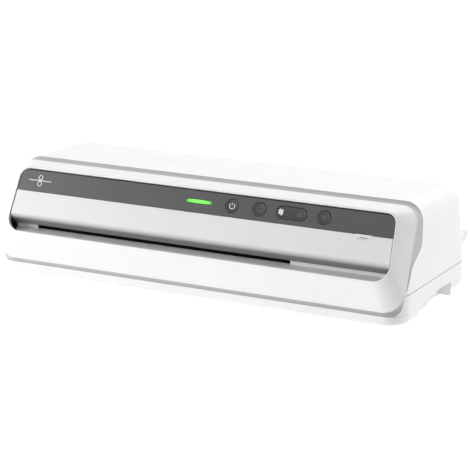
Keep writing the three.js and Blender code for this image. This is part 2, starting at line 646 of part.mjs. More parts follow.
// ---------------------------------------------------------------- rear fittings
function makeInlet() {
  const y = body.rear;
  const { x, z, wall, depth } = inlet;
  const [w, h] = [inlet.width / 2, inlet.height / 2];
  const flange = solid(block(x - w - inlet.sideLap, x + w + inlet.sideLap, y + gap, y + inlet.flange,
    z - h - inlet.topLap, z + h + inlet.topLap));
  const box = solid(block(x - w, x + w, y - depth, y + 1, z - h, z + h));
  const pocket = solid(block(x - w + wall, x + w - wall, y - depth + wall, y + 10, z - h + wall, z + h - wall));
  const pins = inlet.pinPlaces.map(([dx, dz]) => solid(block(x + dx - inlet.pin, x + dx + inlet.pin,
    y - depth + 1, y - inlet.pinEnd, z + dz - 2 * inlet.pin, z + dz + 2 * inlet.pin)));
  return join(cut(flange.add(box), pocket), ...pins);
}

function makeSwitchFrame() {
  const y = body.rear;
  const { x, z, wall, lap, depth } = rocker;
  const [w, h] = [rocker.width / 2, rocker.height / 2];
  const flange = solid(block(x - w - lap, x + w + lap, y + gap, y + rocker.flange, z - h - lap, z + h + lap));
  const box = solid(block(x - w, x + w, y - depth, y + 1, z - h, z + h));
  const pocket = solid(block(x - w + wall, x + w - wall, y - depth + wall, y + 10, z - h + wall, z + h - wall));
  return cut(flange.add(box), pocket);
}

// Rocker: tips about a crosswise pivot, one half proud at a time
function makeRocker() {
  const half = rocker.width / 2 - rocker.wall - rocker.play;
  const high = rocker.height / 2 - rocker.wall - 1;
  const [y, z] = [body.rear - rocker.pivotDepth, rocker.z];
  const profile = [point(y - rocker.root, z - high), point(y + rocker.proud, z - high),
    point(y + rocker.proud - rocker.dish, z), point(y + rocker.proud, z + high), point(y - rocker.root, z + high)];
  return alongX(profile, rocker.x - half, rocker.x + half);
}

function makeTray() {
  const { halfWidth: half, top, bottom, rear, wall, belly, nose, slant } = tray;
  const wallFace = (z) => THREE.MathUtils.lerp(body.rear, body.rearTop, leanedAt(z));
  const profile = [point(wallFace(bottom - belly) + gap, bottom - belly), point(rear - nose, bottom + 2),
    point(rear, bottom + 5), point(rear, top - 1), point(rear - 1, top), point(wallFace(top) + gap, top - slant)];
  const inner = [point(wallFace(bottom) - 20, bottom - 1), point(rear - 5, bottom + 5),
    point(rear - 4, top - wall - 1), point(wallFace(top) - 20, top - wall - 2)];
  const shell = solid(alongX(profile, -half, half));
  const hollow = solid(alongX(inner, -half + wall, half - wall));
  return shell.subtract(hollow);
}

function makeFoot(x, y) {
  const profile = [point(0, 0), point(foot.radius - 1, 0), point(foot.radius, 1), point(foot.radius, body.panBottom - gap),
    point(0, body.panBottom - gap)];
  return new THREE.LatheGeometry(profile, 20).rotateX(Math.PI / 2).translate(x, y, 0);
}

// ---------------------------------------------------------------- assembly
const laminator = new THREE.Group();

function place(name, shape, finish) {
  const geometry = shape instanceof THREE.BufferGeometry ? shape : surface(shape);
  const mesh = new THREE.Mesh(geometry, finish);
  mesh.name = name;
  laminator.add(mesh);
}

const { rearHousing, base } = makeHousings();
place('rear_housing', rearHousing, whitePlastic);
place('base_housing', base, whitePlastic);
place('front_bezel', makeBezel(), whitePlastic);
place('trim_band', makeBand(), greyTrim);
place('panel_carrier', makeCarrier(), blackPlastic);
place('control_panel', makeControlPanel(), panelGrey);
place('feed_hood', makeHood(), hoodGrey);
place('feed_shelf', makeShelf(), hoodGrey);
place('slot_guide', makeGuide(), blackPlastic);
place('release_tab', facePrism(tabOutline(0), -hood.recess - tab.thickness, -hood.recess), hoodGrey);
place('exit_tray', makeTray(), hoodGrey);

const buttonFront = -panel.recess + button.proud;
place('status_lens', facePrism(pill(lens.x, button.centre, lens.length, lens.height),
  -panel.recess - lens.depth, -panel.recess + lens.proud), greenLens);
for (const [name, x] of Object.entries(roundButtons)) {
  place(name, facePrism(circle(x, button.centre, button.radius), buttonFront - button.length, buttonFront), buttonGrey);
}
place('mode_button', facePrism(pill(modeButton.x, button.centre, modeButton.length, modeButton.height),
  buttonFront - button.length, buttonFront), buttonGrey);

place('left_frame', makeFrame(frames.left), steel);
place('right_frame', makeRightFrame(), steel);
place('gear_plate', makeGearPlate(), steel);
for (const [name, centre] of Object.entries(tieBars)) place(name, makeTieBar(centre), steel);

rollers.forEach(({ name, centre, level }) => {
  const right = level < 0 ? gears.plate + 4 : gears.left + gears.width + 2;
  place(`${name}_shaft`, rod(frames.left - 6, right, centre.x, centre.y, roller.shaft, 16), steel);
  place(`${name}_sleeve`, sleeve(roller.left, roller.right, centre, roller.radius, roller.shaft + gap),
    name.includes('heated') ? silicone : rubber);
  const phase = level < 0 ? Math.PI / teeth.roller : -Math.PI / 2;
  place(`${name}_gear`, gearSolid(centre, teeth.roller, phase, roller.shaft + gap), gearNylon);
});
idlers.forEach((centre, index) => place(`idler_gear_${index + 1}`, gearSolid(centre, teeth.idler, 0, 3 + gap), gearNylon));
place('motor_pinion', makePinion(), steel);
place('drive_motor', makeMotor(), steel);
place('upper_heater', makeHeater(1), aluminium);
place('lower_heater', makeHeater(-1), aluminium);
place('left_leaf_spring', makeLeafSpring(frames.left - gap - spring.width), steel);
place('right_leaf_spring', makeLeafSpring(frames.right + frames.thickness + gap), steel);
place('sensor_flag', makeFlag(), blackPlastic);

const boardFront = buttonFront - button.length - button.travel - gap;
const { left, right, low, high } = controlBoard;
place('control_board', facePrism([point(left, low), point(right, low), point(right, high), point(left, high)],
  boardFront - controlBoard.thickness, boardFront), boardGreen);
place('power_board', block(powerBoard.left, powerBoard.right, powerBoard.front, powerBoard.rear,
  powerBoard.bottom, powerBoard.top), boardGreen);

place('mains_inlet', makeInlet(), blackPlastic);
place('switch_frame', makeSwitchFrame(), blackPlastic);
place('rocker_switch', makeRocker(), blackPlastic);
for (const [side, x] of [['left', -foot.x], ['right', foot.x]]) {
  place(`foot_front_${side}`, makeFoot(x, foot.front), rubber);
  place(`foot_rear_${side}`, makeFoot(x, foot.rear), rubber);
}

export default laminator;
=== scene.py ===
"""Looks of a pouch laminator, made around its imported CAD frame.

Sizes and places are in millimetres in the row frame: +X to the machine's right end, +Y to its back, +Z up.
They become metres where a mesh is made.
"""
import json
import math

import bmesh
import bpy
import numpy as np
from mathutils import Matrix, Vector


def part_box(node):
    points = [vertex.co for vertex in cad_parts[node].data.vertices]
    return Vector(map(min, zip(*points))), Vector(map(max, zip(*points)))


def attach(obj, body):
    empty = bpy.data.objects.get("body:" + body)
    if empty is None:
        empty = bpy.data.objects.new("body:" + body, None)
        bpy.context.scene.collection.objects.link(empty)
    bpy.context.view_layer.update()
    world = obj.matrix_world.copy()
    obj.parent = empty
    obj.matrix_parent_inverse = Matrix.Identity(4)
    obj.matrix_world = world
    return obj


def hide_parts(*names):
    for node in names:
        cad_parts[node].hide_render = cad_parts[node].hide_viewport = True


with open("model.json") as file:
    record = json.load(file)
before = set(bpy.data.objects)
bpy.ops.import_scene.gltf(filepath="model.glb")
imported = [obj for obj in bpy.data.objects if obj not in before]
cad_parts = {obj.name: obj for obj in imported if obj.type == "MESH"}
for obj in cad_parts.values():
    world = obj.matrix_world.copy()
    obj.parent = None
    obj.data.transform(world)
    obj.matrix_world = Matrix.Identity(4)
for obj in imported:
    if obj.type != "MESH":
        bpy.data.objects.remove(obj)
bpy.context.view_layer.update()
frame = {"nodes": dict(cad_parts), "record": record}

MM = 0.001

# ---------------------------------------------------------------- camera
CAMERA = {"place": (1018.64, -1921.78, 632.93), "azimuth": 27.79, "elevation": 15.06, "lens": 150.97}


def make_camera():
    data = bpy.data.cameras.new("camera")
    data.lens = CAMERA["lens"]
    data.sensor_width = 36
    data.clip_end = 50
    camera = bpy.data.objects.new("camera", data)
    camera.location = Vector(CAMERA["place"]) * MM
    camera.rotation_euler = (math.radians(90 - CAMERA["elevation"]), 0, math.radians(CAMERA["azimuth"]))
    bpy.context.collection.objects.link(camera)
    bpy.context.scene.camera = camera


make_camera()

# ---------------------------------------------------------------- driving dimensions
BODY = {
    "half": 255, "top_half": 251, "front": -98.1, "rear": 81.9, "rear_top": 73.9,
    "bottom": 0.4, "seam": 33, "top": 122.9, "fall": 3, "wall": 2.6, "floor": 9, "pan": 6.5,
    "front_corner": 22, "rear_corner": 12, "side_edge": 20, "rear_edge": 9,
    "bottom_side_edge": 6, "bottom_rear_edge": 14, "bottom_front_edge": 4,
}
SEAM_GAP = 0.8
SKIRT = {"side": 10, "rear_taper": 6, "rear": 16, "front": 8, "rear_corner": 4, "front_corner": 14}
REAR_HOLE = 8
EDGE = {
    "top_y": -36.2, "top_slope": 0.13, "seam_y": -85.6, "seam_slope": 0.55,
    "curve_top": 82, "curve_bottom": 58, "turn": 31, "lip": 11,
}
FACE_Y, FACE_Z, LEAN = -70.1, 116.5, math.radians(26.1)
WINDOW = {"top_half": 235, "bottom_half": 239.5, "height": 74.2, "top_radius": 12, "bottom_radius": 17}
BEZEL = {
    "depth": 20, "rim": 1.5, "wall": 2.5, "inner_wall": 2.2, "inner_depth": 4,
    "top_half": 250.9, "bottom_half": 255.35, "above": 14.2, "below": 29, "top_radius": 20, "bottom_radius": 24,
}
PANEL = {"height": 26.2, "recess": 1.2, "thickness": 2.6, "top_gap": 1.6, "side_gap": 1.1}
BUTTON_V, BUTTON_RADIUS, BUTTON_LENGTH = -13.4, 7.8, 6.4
ROUND_BUTTONS = {"power_button": 41.6, "reverse_button": 75.2, "auto_button": 153.2}
MODE_BUTTON = {"x": 114, "length": 37, "height": 14.4}
LENS = {"x": 0.5, "length": 31, "height": 3.6, "depth": 4, "proud": 0.1}
HOOD = {
    "recess": 0.8, "thickness": 2.4, "flat_end": 52.5, "tip": 62.7, "tip_depth": 13.9, "back": -61.8,
    "side_gap": 1, "bend": 7,
}
TAB = {"x": 202.4, "top": 20, "bottom": 12, "height": 5, "thickness": 2}
SHELF = {"top": 48.9, "left": -208, "right": 116}
EXIT = {"left": -214, "right": 122, "bottom": 61, "top": 69}
GRIP = {
    "wall": 2, "below": -10,
    "shallow": {"depth": 9.5, "rear": 0, "front": -36.6, "foot": -75, "top": 15.6, "radius": 9, "from": 6.3},
    "deep": {"depth": 14, "rear": 41, "front": -4, "foot": -4, "top": 17.3, "radius": 6, "from": 0.4},
}
INLET = {"x": 196, "z": 21, "width": 27, "height": 19, "depth": 18}
ROCKER = {"x": 150, "z": 21, "width": 19, "height": 13}
CLEAR = 0.3


# ---------------------------------------------------------------- mesh helpers
def clean(mesh):
    """Joins points that coincide, drops loose ones and turns every face outwards."""
    work = bmesh.new()
    work.from_mesh(mesh)
    bmesh.ops.remove_doubles(work, verts=work.verts, dist=1e-6)
    bmesh.ops.delete(work, geom=[v for v in work.verts if not v.link_faces], context="VERTS")
    bmesh.ops.recalc_face_normals(work, faces=work.faces)
    work.to_mesh(mesh)
    work.free()


def mesh_object(name, points, faces):
    mesh = bpy.data.meshes.new(name)
    mesh.from_pydata([tuple(p) for p in np.asarray(points, float) * MM], [], faces)
    clean(mesh)
    obj = bpy.data.objects.new(name, mesh)
    bpy.context.collection.objects.link(obj)
    return obj


def bake(obj, kind, **settings):
    """Adds one modifier to an object and applies it."""
    modifier = obj.modifiers.new(kind, kind)
    for key, value in settings.items():
        setattr(modifier, key, value)
    graph = bpy.context.evaluated_depsgraph_get()
    mesh = bpy.data.meshes.new_from_object(obj.evaluated_get(graph))
    obj.modifiers.clear()
    obj.data = mesh
    return obj


def bevel(obj, width, segments=3, angle=35):
    return bake(obj, "BEVEL", width=width * MM, segments=segments, limit_method="ANGLE",
                angle_limit=math.radians(angle), use_clamp_overlap=True, miter_outer="MITER_ARC")


def boolean(obj, tool, operation="DIFFERENCE"):
    bake(obj, "BOOLEAN", object=tool, operation=operation, solver="EXACT")
    bpy.data.objects.remove(tool)
    clean(obj.data)
    return obj


def loft(name, rings, loop=False):
    """Skin through rings of equal length, closed by flat ends, or onto itself when loop is set."""
    rings = np.asarray(rings, float)
    count, size = rings.shape[:2]
    faces = []
    for row in range(count if loop else count - 1):
        a, b = row * size, (row + 1) % count * size
        faces += [(a + i, a + (i + 1) % size, b + (i + 1) % size, b + i) for i in range(size)]
    if not loop:
        faces += [tuple(range(size)), tuple(range((count - 1) * size, count * size))]
    return mesh_object(name, rings.reshape(-1, 3), faces)


def rounded(corners, steps=12):
    """Outline through corners (x, y, radius), anticlockwise."""
    points = []
    for index, (x, y, radius) in enumerate(corners):
        here = np.array([x, y], float)
        back = np.array(corners[index - 1][:2]) - here
        ahead = np.array(corners[(index + 1) % len(corners)][:2]) - here
        back /= np.linalg.norm(back)
        ahead /= np.linalg.norm(ahead)
        half = math.acos(back @ ahead) / 2
        centre = here + (back + ahead) / np.linalg.norm(back + ahead) * radius / math.sin(half)
        start = here + back * radius / math.tan(half) - centre
        for step in range(steps + 1):
            turn = (math.pi - 2 * half) * step / steps
            c, s = math.cos(turn), math.sin(turn)
            points.append(centre + (start[0] * c - start[1] * s, start[0] * s + start[1] * c))
    return np.array(points)


def circle(x, y, radius, steps=48):
    turns = np.arange(steps) * 2 * math.pi / steps
    return np.column_stack([x + radius * np.cos(turns), y + radius * np.sin(turns)])


def pill(x, y, length, height, inset=0.0):
    w, h = length / 2 - inset, height / 2 - inset
    radius = h - 0.01
    return rounded([(x + w, y + h, radius), (x - w, y + h, radius),
                    (x - w, y - h, radius), (x + w, y - h, radius)])


def box_outline(x0, x1, y0, y1):
    return np.array([(x0, y0), (x1, y0), (x1, y1), (x0, y1)], float)


def on_face(outline, out):
    """An outline (x, v) drawn on the sloping face, out of it by the given depth."""
    x, v = outline[:, 0], outline[:, 1]
    return np.column_stack([x, FACE_Y + v * math.sin(LEAN) - out * math.cos(LEAN),
                            FACE_Z + v * math.cos(LEAN) + out * math.sin(LEAN)])


def to_face(y, z):
    """Height up the face and depth out of it of a place in the side view."""
    dy, dz = y - FACE_Y, z - FACE_Z
    return dy * math.sin(LEAN) + dz * math.cos(LEAN), dz * math.sin(LEAN) - dy * math.cos(LEAN)


def face_prism(name, outline, out0, out1):
    return loft(name, [on_face(outline, out0), on_face(outline, out1)])


def block(name, x0, x1, y0, y1, z0, z1):
    flat = box_outline(x0, x1, y0, y1)
    return loft(name, [np.column_stack([flat, np.full(4, z)]) for z in (z0, z1)])


def along_x(name, profile, x0, x1):
    """A side profile of (y, z) carried along X."""
    profile = np.asarray(profile, float)
    return loft(name, [np.column_stack([np.full(len(profile), x), profile]) for x in (x0, x1)])


def plate(name, outlines, front, thickness, edge):
    """A flat plate with holes and eased edges, its outlines drawn on the sloping face."""
    curve = bpy.data.curves.new(name, "CURVE")
    curve.dimensions = "2D"
    curve.fill_mode = "BOTH"
    curve.extrude = (thickness / 2 - edge) * MM
    curve.bevel_depth = edge * MM
    curve.bevel_resolution = 2
    curve.offset = -edge * MM
    for outline in outlines:
        spline = curve.splines.new("POLY")
        spline.points.add(len(outline) - 1)
        for point, (x, v) in zip(spline.points, outline):
            point.co = (x * MM, v * MM, 0, 1)
        spline.use_cyclic_u = True
    drawn = bpy.data.objects.new(name, curve)
    bpy.context.collection.objects.link(drawn)
    graph = bpy.context.evaluated_depsgraph_get()
    mesh = bpy.data.meshes.new_from_object(drawn.evaluated_get(graph))
    bpy.data.objects.remove(drawn)
    middle = on_face(np.zeros((1, 2)), front - thickness / 2)[0] * MM
    mesh.transform(Matrix.Translation(middle) @ Matrix.Rotation(math.pi / 2 - LEAN, 4, "X"))
    clean(mesh)
    obj = bpy.data.objects.new(name, mesh)
    bpy.context.collection.objects.link(obj)
    return obj


def refine(node, width, segments=3):
    """A copy of a CAD node with eased edges."""
    mesh = frame["nodes"][node].data.copy()
    clean(mesh)
    obj = bpy.data.objects.new(node + "_shape", mesh)
    bpy.context.collection.objects.link(obj)
    bake(obj, "DECIMATE", decimate_type="DISSOLVE", angle_limit=math.radians(0.5))
    return bevel(obj, width, segments)


# ---------------------------------------------------------------- materials
class Nodes:
    """Builds one material's node tree."""

    def __init__(self, name):
        self.material = bpy.data.materials.new(name)
        self.material.use_nodes = True
        self.tree = self.material.node_tree
        self.shader = self.tree.nodes["Principled BSDF"]
        self.place = self.tree.nodes.new("ShaderNodeTexCoord").outputs["Object"]

    def link(self, source, target):
        self.tree.links.new(source, target)

    def stretched(self, scale):
        mapping = self.tree.nodes.new("ShaderNodeMapping")
        mapping.inputs["Scale"].default_value = scale
        self.link(self.place, mapping.inputs["Vector"])
        return mapping.outputs["Vector"]

    def noise(self, size, detail=3.0, place=None):
        """Noise with features of about the given size in millimetres."""
        node = self.tree.nodes.new("ShaderNodeTexNoise")
        node.inputs["Scale"].default_value = 1 / (size * MM)
        node.inputs["Detail"].default_value = detail
        self.link(place or self.place, node.inputs["Vector"])
        return node.outputs["Fac"]

    def cells(self, size):
        node = self.tree.nodes.new("ShaderNodeTexVoronoi")
        node.inputs["Scale"].default_value = 1 / (size * MM)
        self.link(self.place, node.inputs["Vector"])
        return node.outputs["Distance"]

    def spread(self, value, low, high, start=0.3, end=0.7):
        node = self.tree.nodes.new("ShaderNodeMapRange")
        for key, number in (("From Min", start), ("From Max", end), ("To Min", low), ("To Max", high)):
            node.inputs[key].default_value = number
        self.link(value, node.inputs["Value"])
        return node.outputs["Result"]

    def math(self, operation, first, second):
        node = self.tree.nodes.new("ShaderNodeMath")
        node.operation = operation
        for slot, value in zip(node.inputs, (first, second)):
            if isinstance(value, (int, float)):
                slot.default_value = value
            else:
                self.link(value, slot)
        return node.outputs["Value"]

    def mix(self, factor, first, second):
        node = self.tree.nodes.new("ShaderNodeMix")
        node.data_type = "RGBA"
        self.link(factor, node.inputs["Factor"])
        for key, value in (("A", first), ("B", second)):
            slot = [s for s in node.inputs if s.name == key and s.type == "RGBA"][0]
            if isinstance(value, tuple):
                slot.default_value = (*value, 1)
            else:
                self.link(value, slot)
        return [s for s in node.outputs if s.type == "RGBA"][0]

    def bump(self, height, strength, distance):
        node = self.tree.nodes.new("ShaderNodeBump")
        node.inputs["Strength"].default_value = strength
        node.inputs["Distance"].default_value = distance * MM
        self.link(height, node.inputs["Height"])
        self.link(node.outputs["Normal"], self.shader.inputs["Normal"])

    def set(self, **values):
        for key, value in values.items():
            self.shader.inputs[key.replace("_", " ")].default_value = value


def shade(colour, factor):
    return tuple(min(c * factor, 1) for c in colour)


def moulded(name, colour, roughness, grain=0.45, depth=0.02, wear=0.06, painted_shade=None, **settings):
    """Moulded plastic: spark-eroded grain, faint flow marks, handling marks that change the gloss.

    Given (low, high, factor), painted shade darkens the piece's colour below two heights in millimetres,
    standing for the shadow where a surface turns under.
    """
    n = Nodes(name)
    flow = n.spread(n.noise(38, 2), 0, 1)
    tone = n.mix(flow, shade(colour, 0.985), shade(colour, 1.015))
    # painted shade: colour darkened below a height, for the shadow on an underside
    if painted_shade:
        low, high, factor = painted_shade
        split = n.tree.nodes.new("ShaderNodeSeparateXYZ")
        n.link(n.place, split.inputs["Vector"])
        tone = n.mix(n.spread(split.outputs["Z"], 1, 0, low * MM, high * MM), tone, shade(colour, factor))
    n.link(tone, n.shader.inputs["Base Color"])
    rubbed = n.spread(n.noise(14, 4), roughness - wear, roughness + wear)
    scratches = n.spread(n.noise(0.9, 2, n.stretched((0.05, 1, 1))), 0, wear, 0.62, 0.74)
    n.link(n.math("ADD", rubbed, scratches), n.shader.inputs["Roughness"])
    texture = n.math("ADD", n.noise(grain, 2), n.math("MULTIPLY", n.cells(grain * 1.8), 0.5))
    n.bump(texture, 0.35, depth)
    n.set(**settings)
    return n.material


def brushed(name, colour, roughness):
    """Drawn or rolled metal with fine lines along X."""
    n = Nodes(name)
    lines = n.noise(0.35, 3, n.stretched((0.02, 1, 1)))
    stain = n.spread(n.noise(22, 3), 0, 1)
    n.link(n.mix(stain, shade(colour, 0.92), colour), n.shader.inputs["Base Color"])
    n.link(n.spread(lines, roughness - 0.08, roughness + 0.12), n.shader.inputs["Roughness"])
    n.bump(lines, 0.3, 0.01)
    n.set(Metallic=1.0)
    return n.material


def soft(name, colour, roughness, sheen):
    """Rubber or silicone: matt, with a powdery bloom and fine pores."""
    n = Nodes(name)
    bloom = n.spread(n.noise(9, 4), 0, 1)
    n.link(n.mix(bloom, colour, shade(colour, 1.25)), n.shader.inputs["Base Color"])
    n.link(n.spread(n.noise(3, 3), roughness - 0.08, roughness + 0.06), n.shader.inputs["Roughness"])
    n.bump(n.math("ADD", n.cells(0.5), n.noise(0.25, 2)), 0.4, 0.03)
    n.set(Sheen_Weight=sheen, Sheen_Roughness=0.5)
    return n.material


def lit_lens():
    """Green light bar: diffusing plastic, brightest along its middle."""
    n = Nodes("green_lens")
    split = n.tree.nodes.new("ShaderNodeSeparateXYZ")
    n.link(n.place, split.inputs["Vector"])
    off = n.math("ABSOLUTE", n.math("SUBTRACT", split.outputs["X"], LENS["x"] * MM), 0.0)
    glow = n.spread(off, 1.0, 0.45, 0.3 * LENS["length"] / 2 * MM, LENS["length"] / 2 * MM)
    grain = n.spread(n.noise(0.6, 3), 0.94, 1.06)
    n.link(n.mix(glow, (0.06, 0.32, 0.03), (0.2, 0.9, 0.12)), n.shader.inputs["Base Color"])
    n.link(n.mix(glow, (0.05, 0.36, 0.03), (0.17, 0.85, 0.09)), n.shader.inputs["Emission Color"])
    n.link(n.math("MULTIPLY", glow, n.math("MULTIPLY", grain, 0.62)), n.shader.inputs["Emission Strength"])
    n.link(n.spread(n.noise(2, 3), 0.22, 0.34), n.shader.inputs["Roughness"])
    n.bump(n.noise(0.4, 2), 0.15, 0.01)
    return n.material


def circuit_board():
    """Green solder mask over copper tracks."""
    n = Nodes("board_green")
    bricks = n.tree.nodes.new("ShaderNodeTexBrick")
    bricks.inputs["Scale"].default_value = 110
    bricks.inputs["Mortar Size"].default_value = 0.03
    bricks.inputs["Color1"].default_value = (0.012, 0.13, 0.035, 1)
    bricks.inputs["Color2"].default_value = (0.01, 0.1, 0.03, 1)
    bricks.inputs["Mortar"].default_value = (0.03, 0.24, 0.06, 1)
    n.link(n.place, bricks.inputs["Vector"])
    n.link(bricks.outputs["Color"], n.shader.inputs["Base Color"])
    n.link(n.spread(n.noise(5, 3), 0.3, 0.5), n.shader.inputs["Roughness"])
    n.bump(bricks.outputs["Fac"], 0.3, 0.03)
    return n.material


FINISHES = {
    "white_plastic": moulded("white_plastic", (0.78, 0.78, 0.785), 0.42),
    "grey_trim": moulded("grey_trim", (0.43, 0.43, 0.435), 0.48, grain=0.55, depth=0.03),
    "hood_grey": moulded("hood_grey", (0.74, 0.74, 0.745), 0.4, grain=0.4),
    "panel_grey": moulded("panel_grey", (0.085, 0.085, 0.087), 0.34, grain=0.3, depth=0.008, wear=0.015),
    "button_grey": moulded("button_grey", (0.032, 0.032, 0.034), 0.5, grain=0.35, depth=0.02),
    "black_plastic": moulded("black_plastic", (0.012, 0.012, 0.013), 0.55, grain=0.6, depth=0.03),
    "green_lens": lit_lens(),
    "rubber": soft("rubber", (0.02, 0.02, 0.021), 0.82, 0.15),
    "silicone": soft("silicone", (0.42, 0.07, 0.03), 0.62, 0.2),
    "steel": brushed("steel", (0.56, 0.57, 0.58), 0.34),
    "aluminium": brushed("aluminium", (0.7, 0.71, 0.72), 0.4),
    "gear_nylon": moulded("gear_nylon", (0.78, 0.75, 0.66), 0.45, grain=0.5),
    "board_green": circuit_board(),
}
# Hood colour with painted shade: darker below its bend, for the shadow on the turned-under underside
HOOD_PAINTED_SHADE = moulded("hood_painted_shade", (0.7, 0.7, 0.705), 0.4, grain=0.4, painted_shade=(60.5, 68.8, 0.27))
INK = moulded("icon_ink", (0.72, 0.73, 0.74), 0.5, grain=0.3, depth=0.004)
FAINT_INK = moulded("faint_ink", (0.1, 0.1, 0.105), 0.42, grain=0.3, depth=0.004)


def dress(obj, slot, body="root", nodes=(), material=None, angle=32):
    """Gives a piece its finish and smooth shading, ties it to its body and hides the CAD nodes it stands in
    for.
    """
    obj.data.materials.clear()
    obj.data.materials.append(material or FINISHES[slot])
    obj.data.shade_smooth()
    obj.data.set_sharp_from_angle(angle=math.radians(angle))
    weights = obj.modifiers.new("normals", "WEIGHTED_NORMAL")
    weights.keep_sharp = True
    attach(obj, body)
    if nodes:
        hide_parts(*nodes)
    return obj


# ---------------------------------------------------------------- housings
def round_over(radius, height):
    return radius - math.sqrt(max(radius * radius - height * height, 0))


def lerp(a, b, t):
    return a + (b - a) * t


def edge_y(z):
    """Front edge of the housing above the turn, seen from the side."""
    upper = EDGE["top_y"] - EDGE["top_slope"] * (BODY["top"] - z)
    lower = EDGE["seam_y"] + EDGE["seam_slope"] * (z - BODY["seam"])
    t = min(max((z - EDGE["curve_bottom"]) / (EDGE["curve_top"] - EDGE["curve_bottom"]), 0), 1)
    return lerp(lower, upper, t * t * (3 - 2 * t))


def plan(z, wall=0.0):
    """Housing at a height, inset by a wall: half widths at front and rear, rear, front and corner radii."""
    top, bottom = BODY["top"] - wall, BODY["bottom"] + wall

    def eased(radius):
        return round_over(radius, max(bottom + radius - z, 0))

    def crowned(radius):
        return round_over(radius, max(z - (top - radius), 0))

    leaned = max(z - BODY["seam"], 0) / (BODY["top"] - BODY["seam"])
    side = lerp(BODY["half"], BODY["top_half"], leaned) - wall - crowned(BODY["side_edge"] - wall)
    low_rear = eased(BODY["bottom_rear_edge"] - wall)
    rear = lerp(BODY["rear"], BODY["rear_top"], leaned) - wall - crowned(BODY["rear_edge"] - wall) - low_rear
    front = BODY["front"] + wall + eased(max(BODY["bottom_front_edge"] - wall, 0.5))
    corner = max(BODY["rear_corner"] - wall - crowned(BODY["rear_edge"] - wall), 6)
    low_front = eased(max(BODY["bottom_side_edge"] - wall, 0.5))
    return side - low_front, side - low_rear, rear, front, corner, BODY["front_corner"] - wall


SIDE_STEPS, CORNER_STEPS, FRONT_STEPS = 44, 12, 6
REAR_HALF = 243
REAR_PLACES = [-1, -0.94, EXIT["left"] / REAR_HALF, -0.6, -0.3, 0, 0.25]
REAR_PLACES += [EXIT["right"] / REAR_HALF, 0.75, 0.94, 1]


def ring(z, shape, cut_y=None, front_wall=False):
    """Plan line at a height, from the front edge round the back to the other front edge."""
    side_front, side_rear, rear, front, rear_corner, front_corner = shape
    outline = rounded([(side_rear, rear, rear_corner), (-side_rear, rear, rear_corner),
                       (-side_front, front, front_corner), (side_front, front, front_corner)], CORNER_STEPS)
    size = CORNER_STEPS + 1
    rear_arc, front_arc = outline[:size][::-1], outline[3 * size:][::-1]
    path = np.vstack([rear_arc[-1:], front_arc])
    walked = np.concatenate([[0], np.cumsum(np.linalg.norm(np.diff(path, axis=0), axis=1))])
    length = walked[-1] if cut_y is None else np.interp(-cut_y, -path[:, 1], walked)
    along = length * (1 - (1 - np.arange(1, SIDE_STEPS + 1) / SIDE_STEPS) ** 1.7)
    side = np.column_stack([np.interp(along, walked, path[:, axis]) for axis in (0, 1)])
    half = [*map(tuple, rear_arc), *map(tuple, side)]
    if front_wall:
        half += [(front_arc[-1][0] * (1 - step / FRONT_STEPS), front) for step in range(1, FRONT_STEPS + 1)]
    back = [(place * rear_arc[0][0], rear) for place in REAR_PLACES[1:-1]]
    line = [(-x, y) for x, y in reversed(half)] + back + half
    leaned = max(z - BODY["seam"], 0) / (BODY["top"] - BODY["seam"])
    slope = BODY["fall"] * leaned / (BODY["rear_top"] - EDGE["top_y"])
    return np.array([(x, y, z - slope * (y - EDGE["top_y"])) for x, y in line])


def grid_faces(rows, cols, start, keep):
    faces = []
    for row in range(rows - 1):
        for col in range(cols - 1):
            if keep(row, col):
                a = start + row * cols + col
                faces.append((a, a + cols, a + cols + 1, a + 1))
    return faces


def rim_faces(faces, cols, shared, shift):
    """Faces that join the open edges of an outer grid's first rows to the same edges of the inner grid."""
    seen = {}
    for face in faces:
        for a, b in zip(face, face[1:] + face[:1]):
            key = (min(a, b), max(a, b))
            seen[key] = seen.get(key, 0) + 1
    last = shared * cols
    return [(a, b, b + shift, a + shift) for (a, b), times in seen.items() if times == 1 and b < last]


def unwrap_height(z):
    """Ring height that ends up at height z on the rear wall once the top's fall is taken off."""
    rate = BODY["fall"] / (BODY["top"] - BODY["seam"])
    return (z - rate * BODY["seam"]) / (1 - rate)


def make_rear_housing():
    slot_low, slot_high = unwrap_height(EXIT["bottom"]), unwrap_height(EXIT["top"])
    shoulder = BODY["top"] - BODY["side_edge"]
    walls = [BODY["seam"] + SEAM_GAP / 2, 40, 47, 52, 55, 58, slot_low, 64.5, 67, slot_high]
    walls += [73, 75.5, 78, 84, 93]
    crown = [math.sin(step * math.pi / 24) for step in range(13)]

    def side_rows(wall):
        heights = walls + [shoulder + (BODY["side_edge"] - wall) * rise for rise in crown]
        return [ring(z, plan(z, wall), edge_y(z)) for z in heights]

    outer, inner = side_rows(0), side_rows(BODY["wall"])
    rows, cols = len(outer), len(outer[0])
    slot_row = walls.index(slot_low)
    slot_rows = range(slot_row, walls.index(slot_high))
    first = SIDE_STEPS + CORNER_STEPS
    slot_cols = range(*(first + REAR_PLACES.index(EXIT[end] / REAR_HALF) for end in ("left", "right")))

    def keep(row, col):
        return not (row in slot_rows and col in slot_cols)

    shift = rows * cols
    faces = grid_faces(rows, cols, 0, keep)
    rims = rim_faces(faces, cols, rows, shift)
    top = (rows - 1) * cols
    rims = [f for f in rims if not (f[0] >= top and f[1] >= top)]
    faces += [tuple(v + shift for v in reversed(face)) for face in faces] + rims
    faces += [tuple(range(top, top + cols)), tuple(range(top + shift, top + shift + cols))]
    faces.append((top, top + cols - 1, top + cols - 1 + shift, top + shift))
    shell = mesh_object("rear_housing_shell", np.vstack(outer + inner), faces)
    return bevel(shell, 0.55)


def turned_edge(step, steps=10):
    """Height and front of the base's side wall on the round-over below the turn."""
    angle = math.pi / 2 * step / steps
    turn_y = edge_y(EDGE["turn"])
    return (EDGE["turn"] - (EDGE["turn"] - EDGE["lip"]) * math.sin(angle),
            BODY["front"] + (turn_y - BODY["front"]) * math.cos(angle))


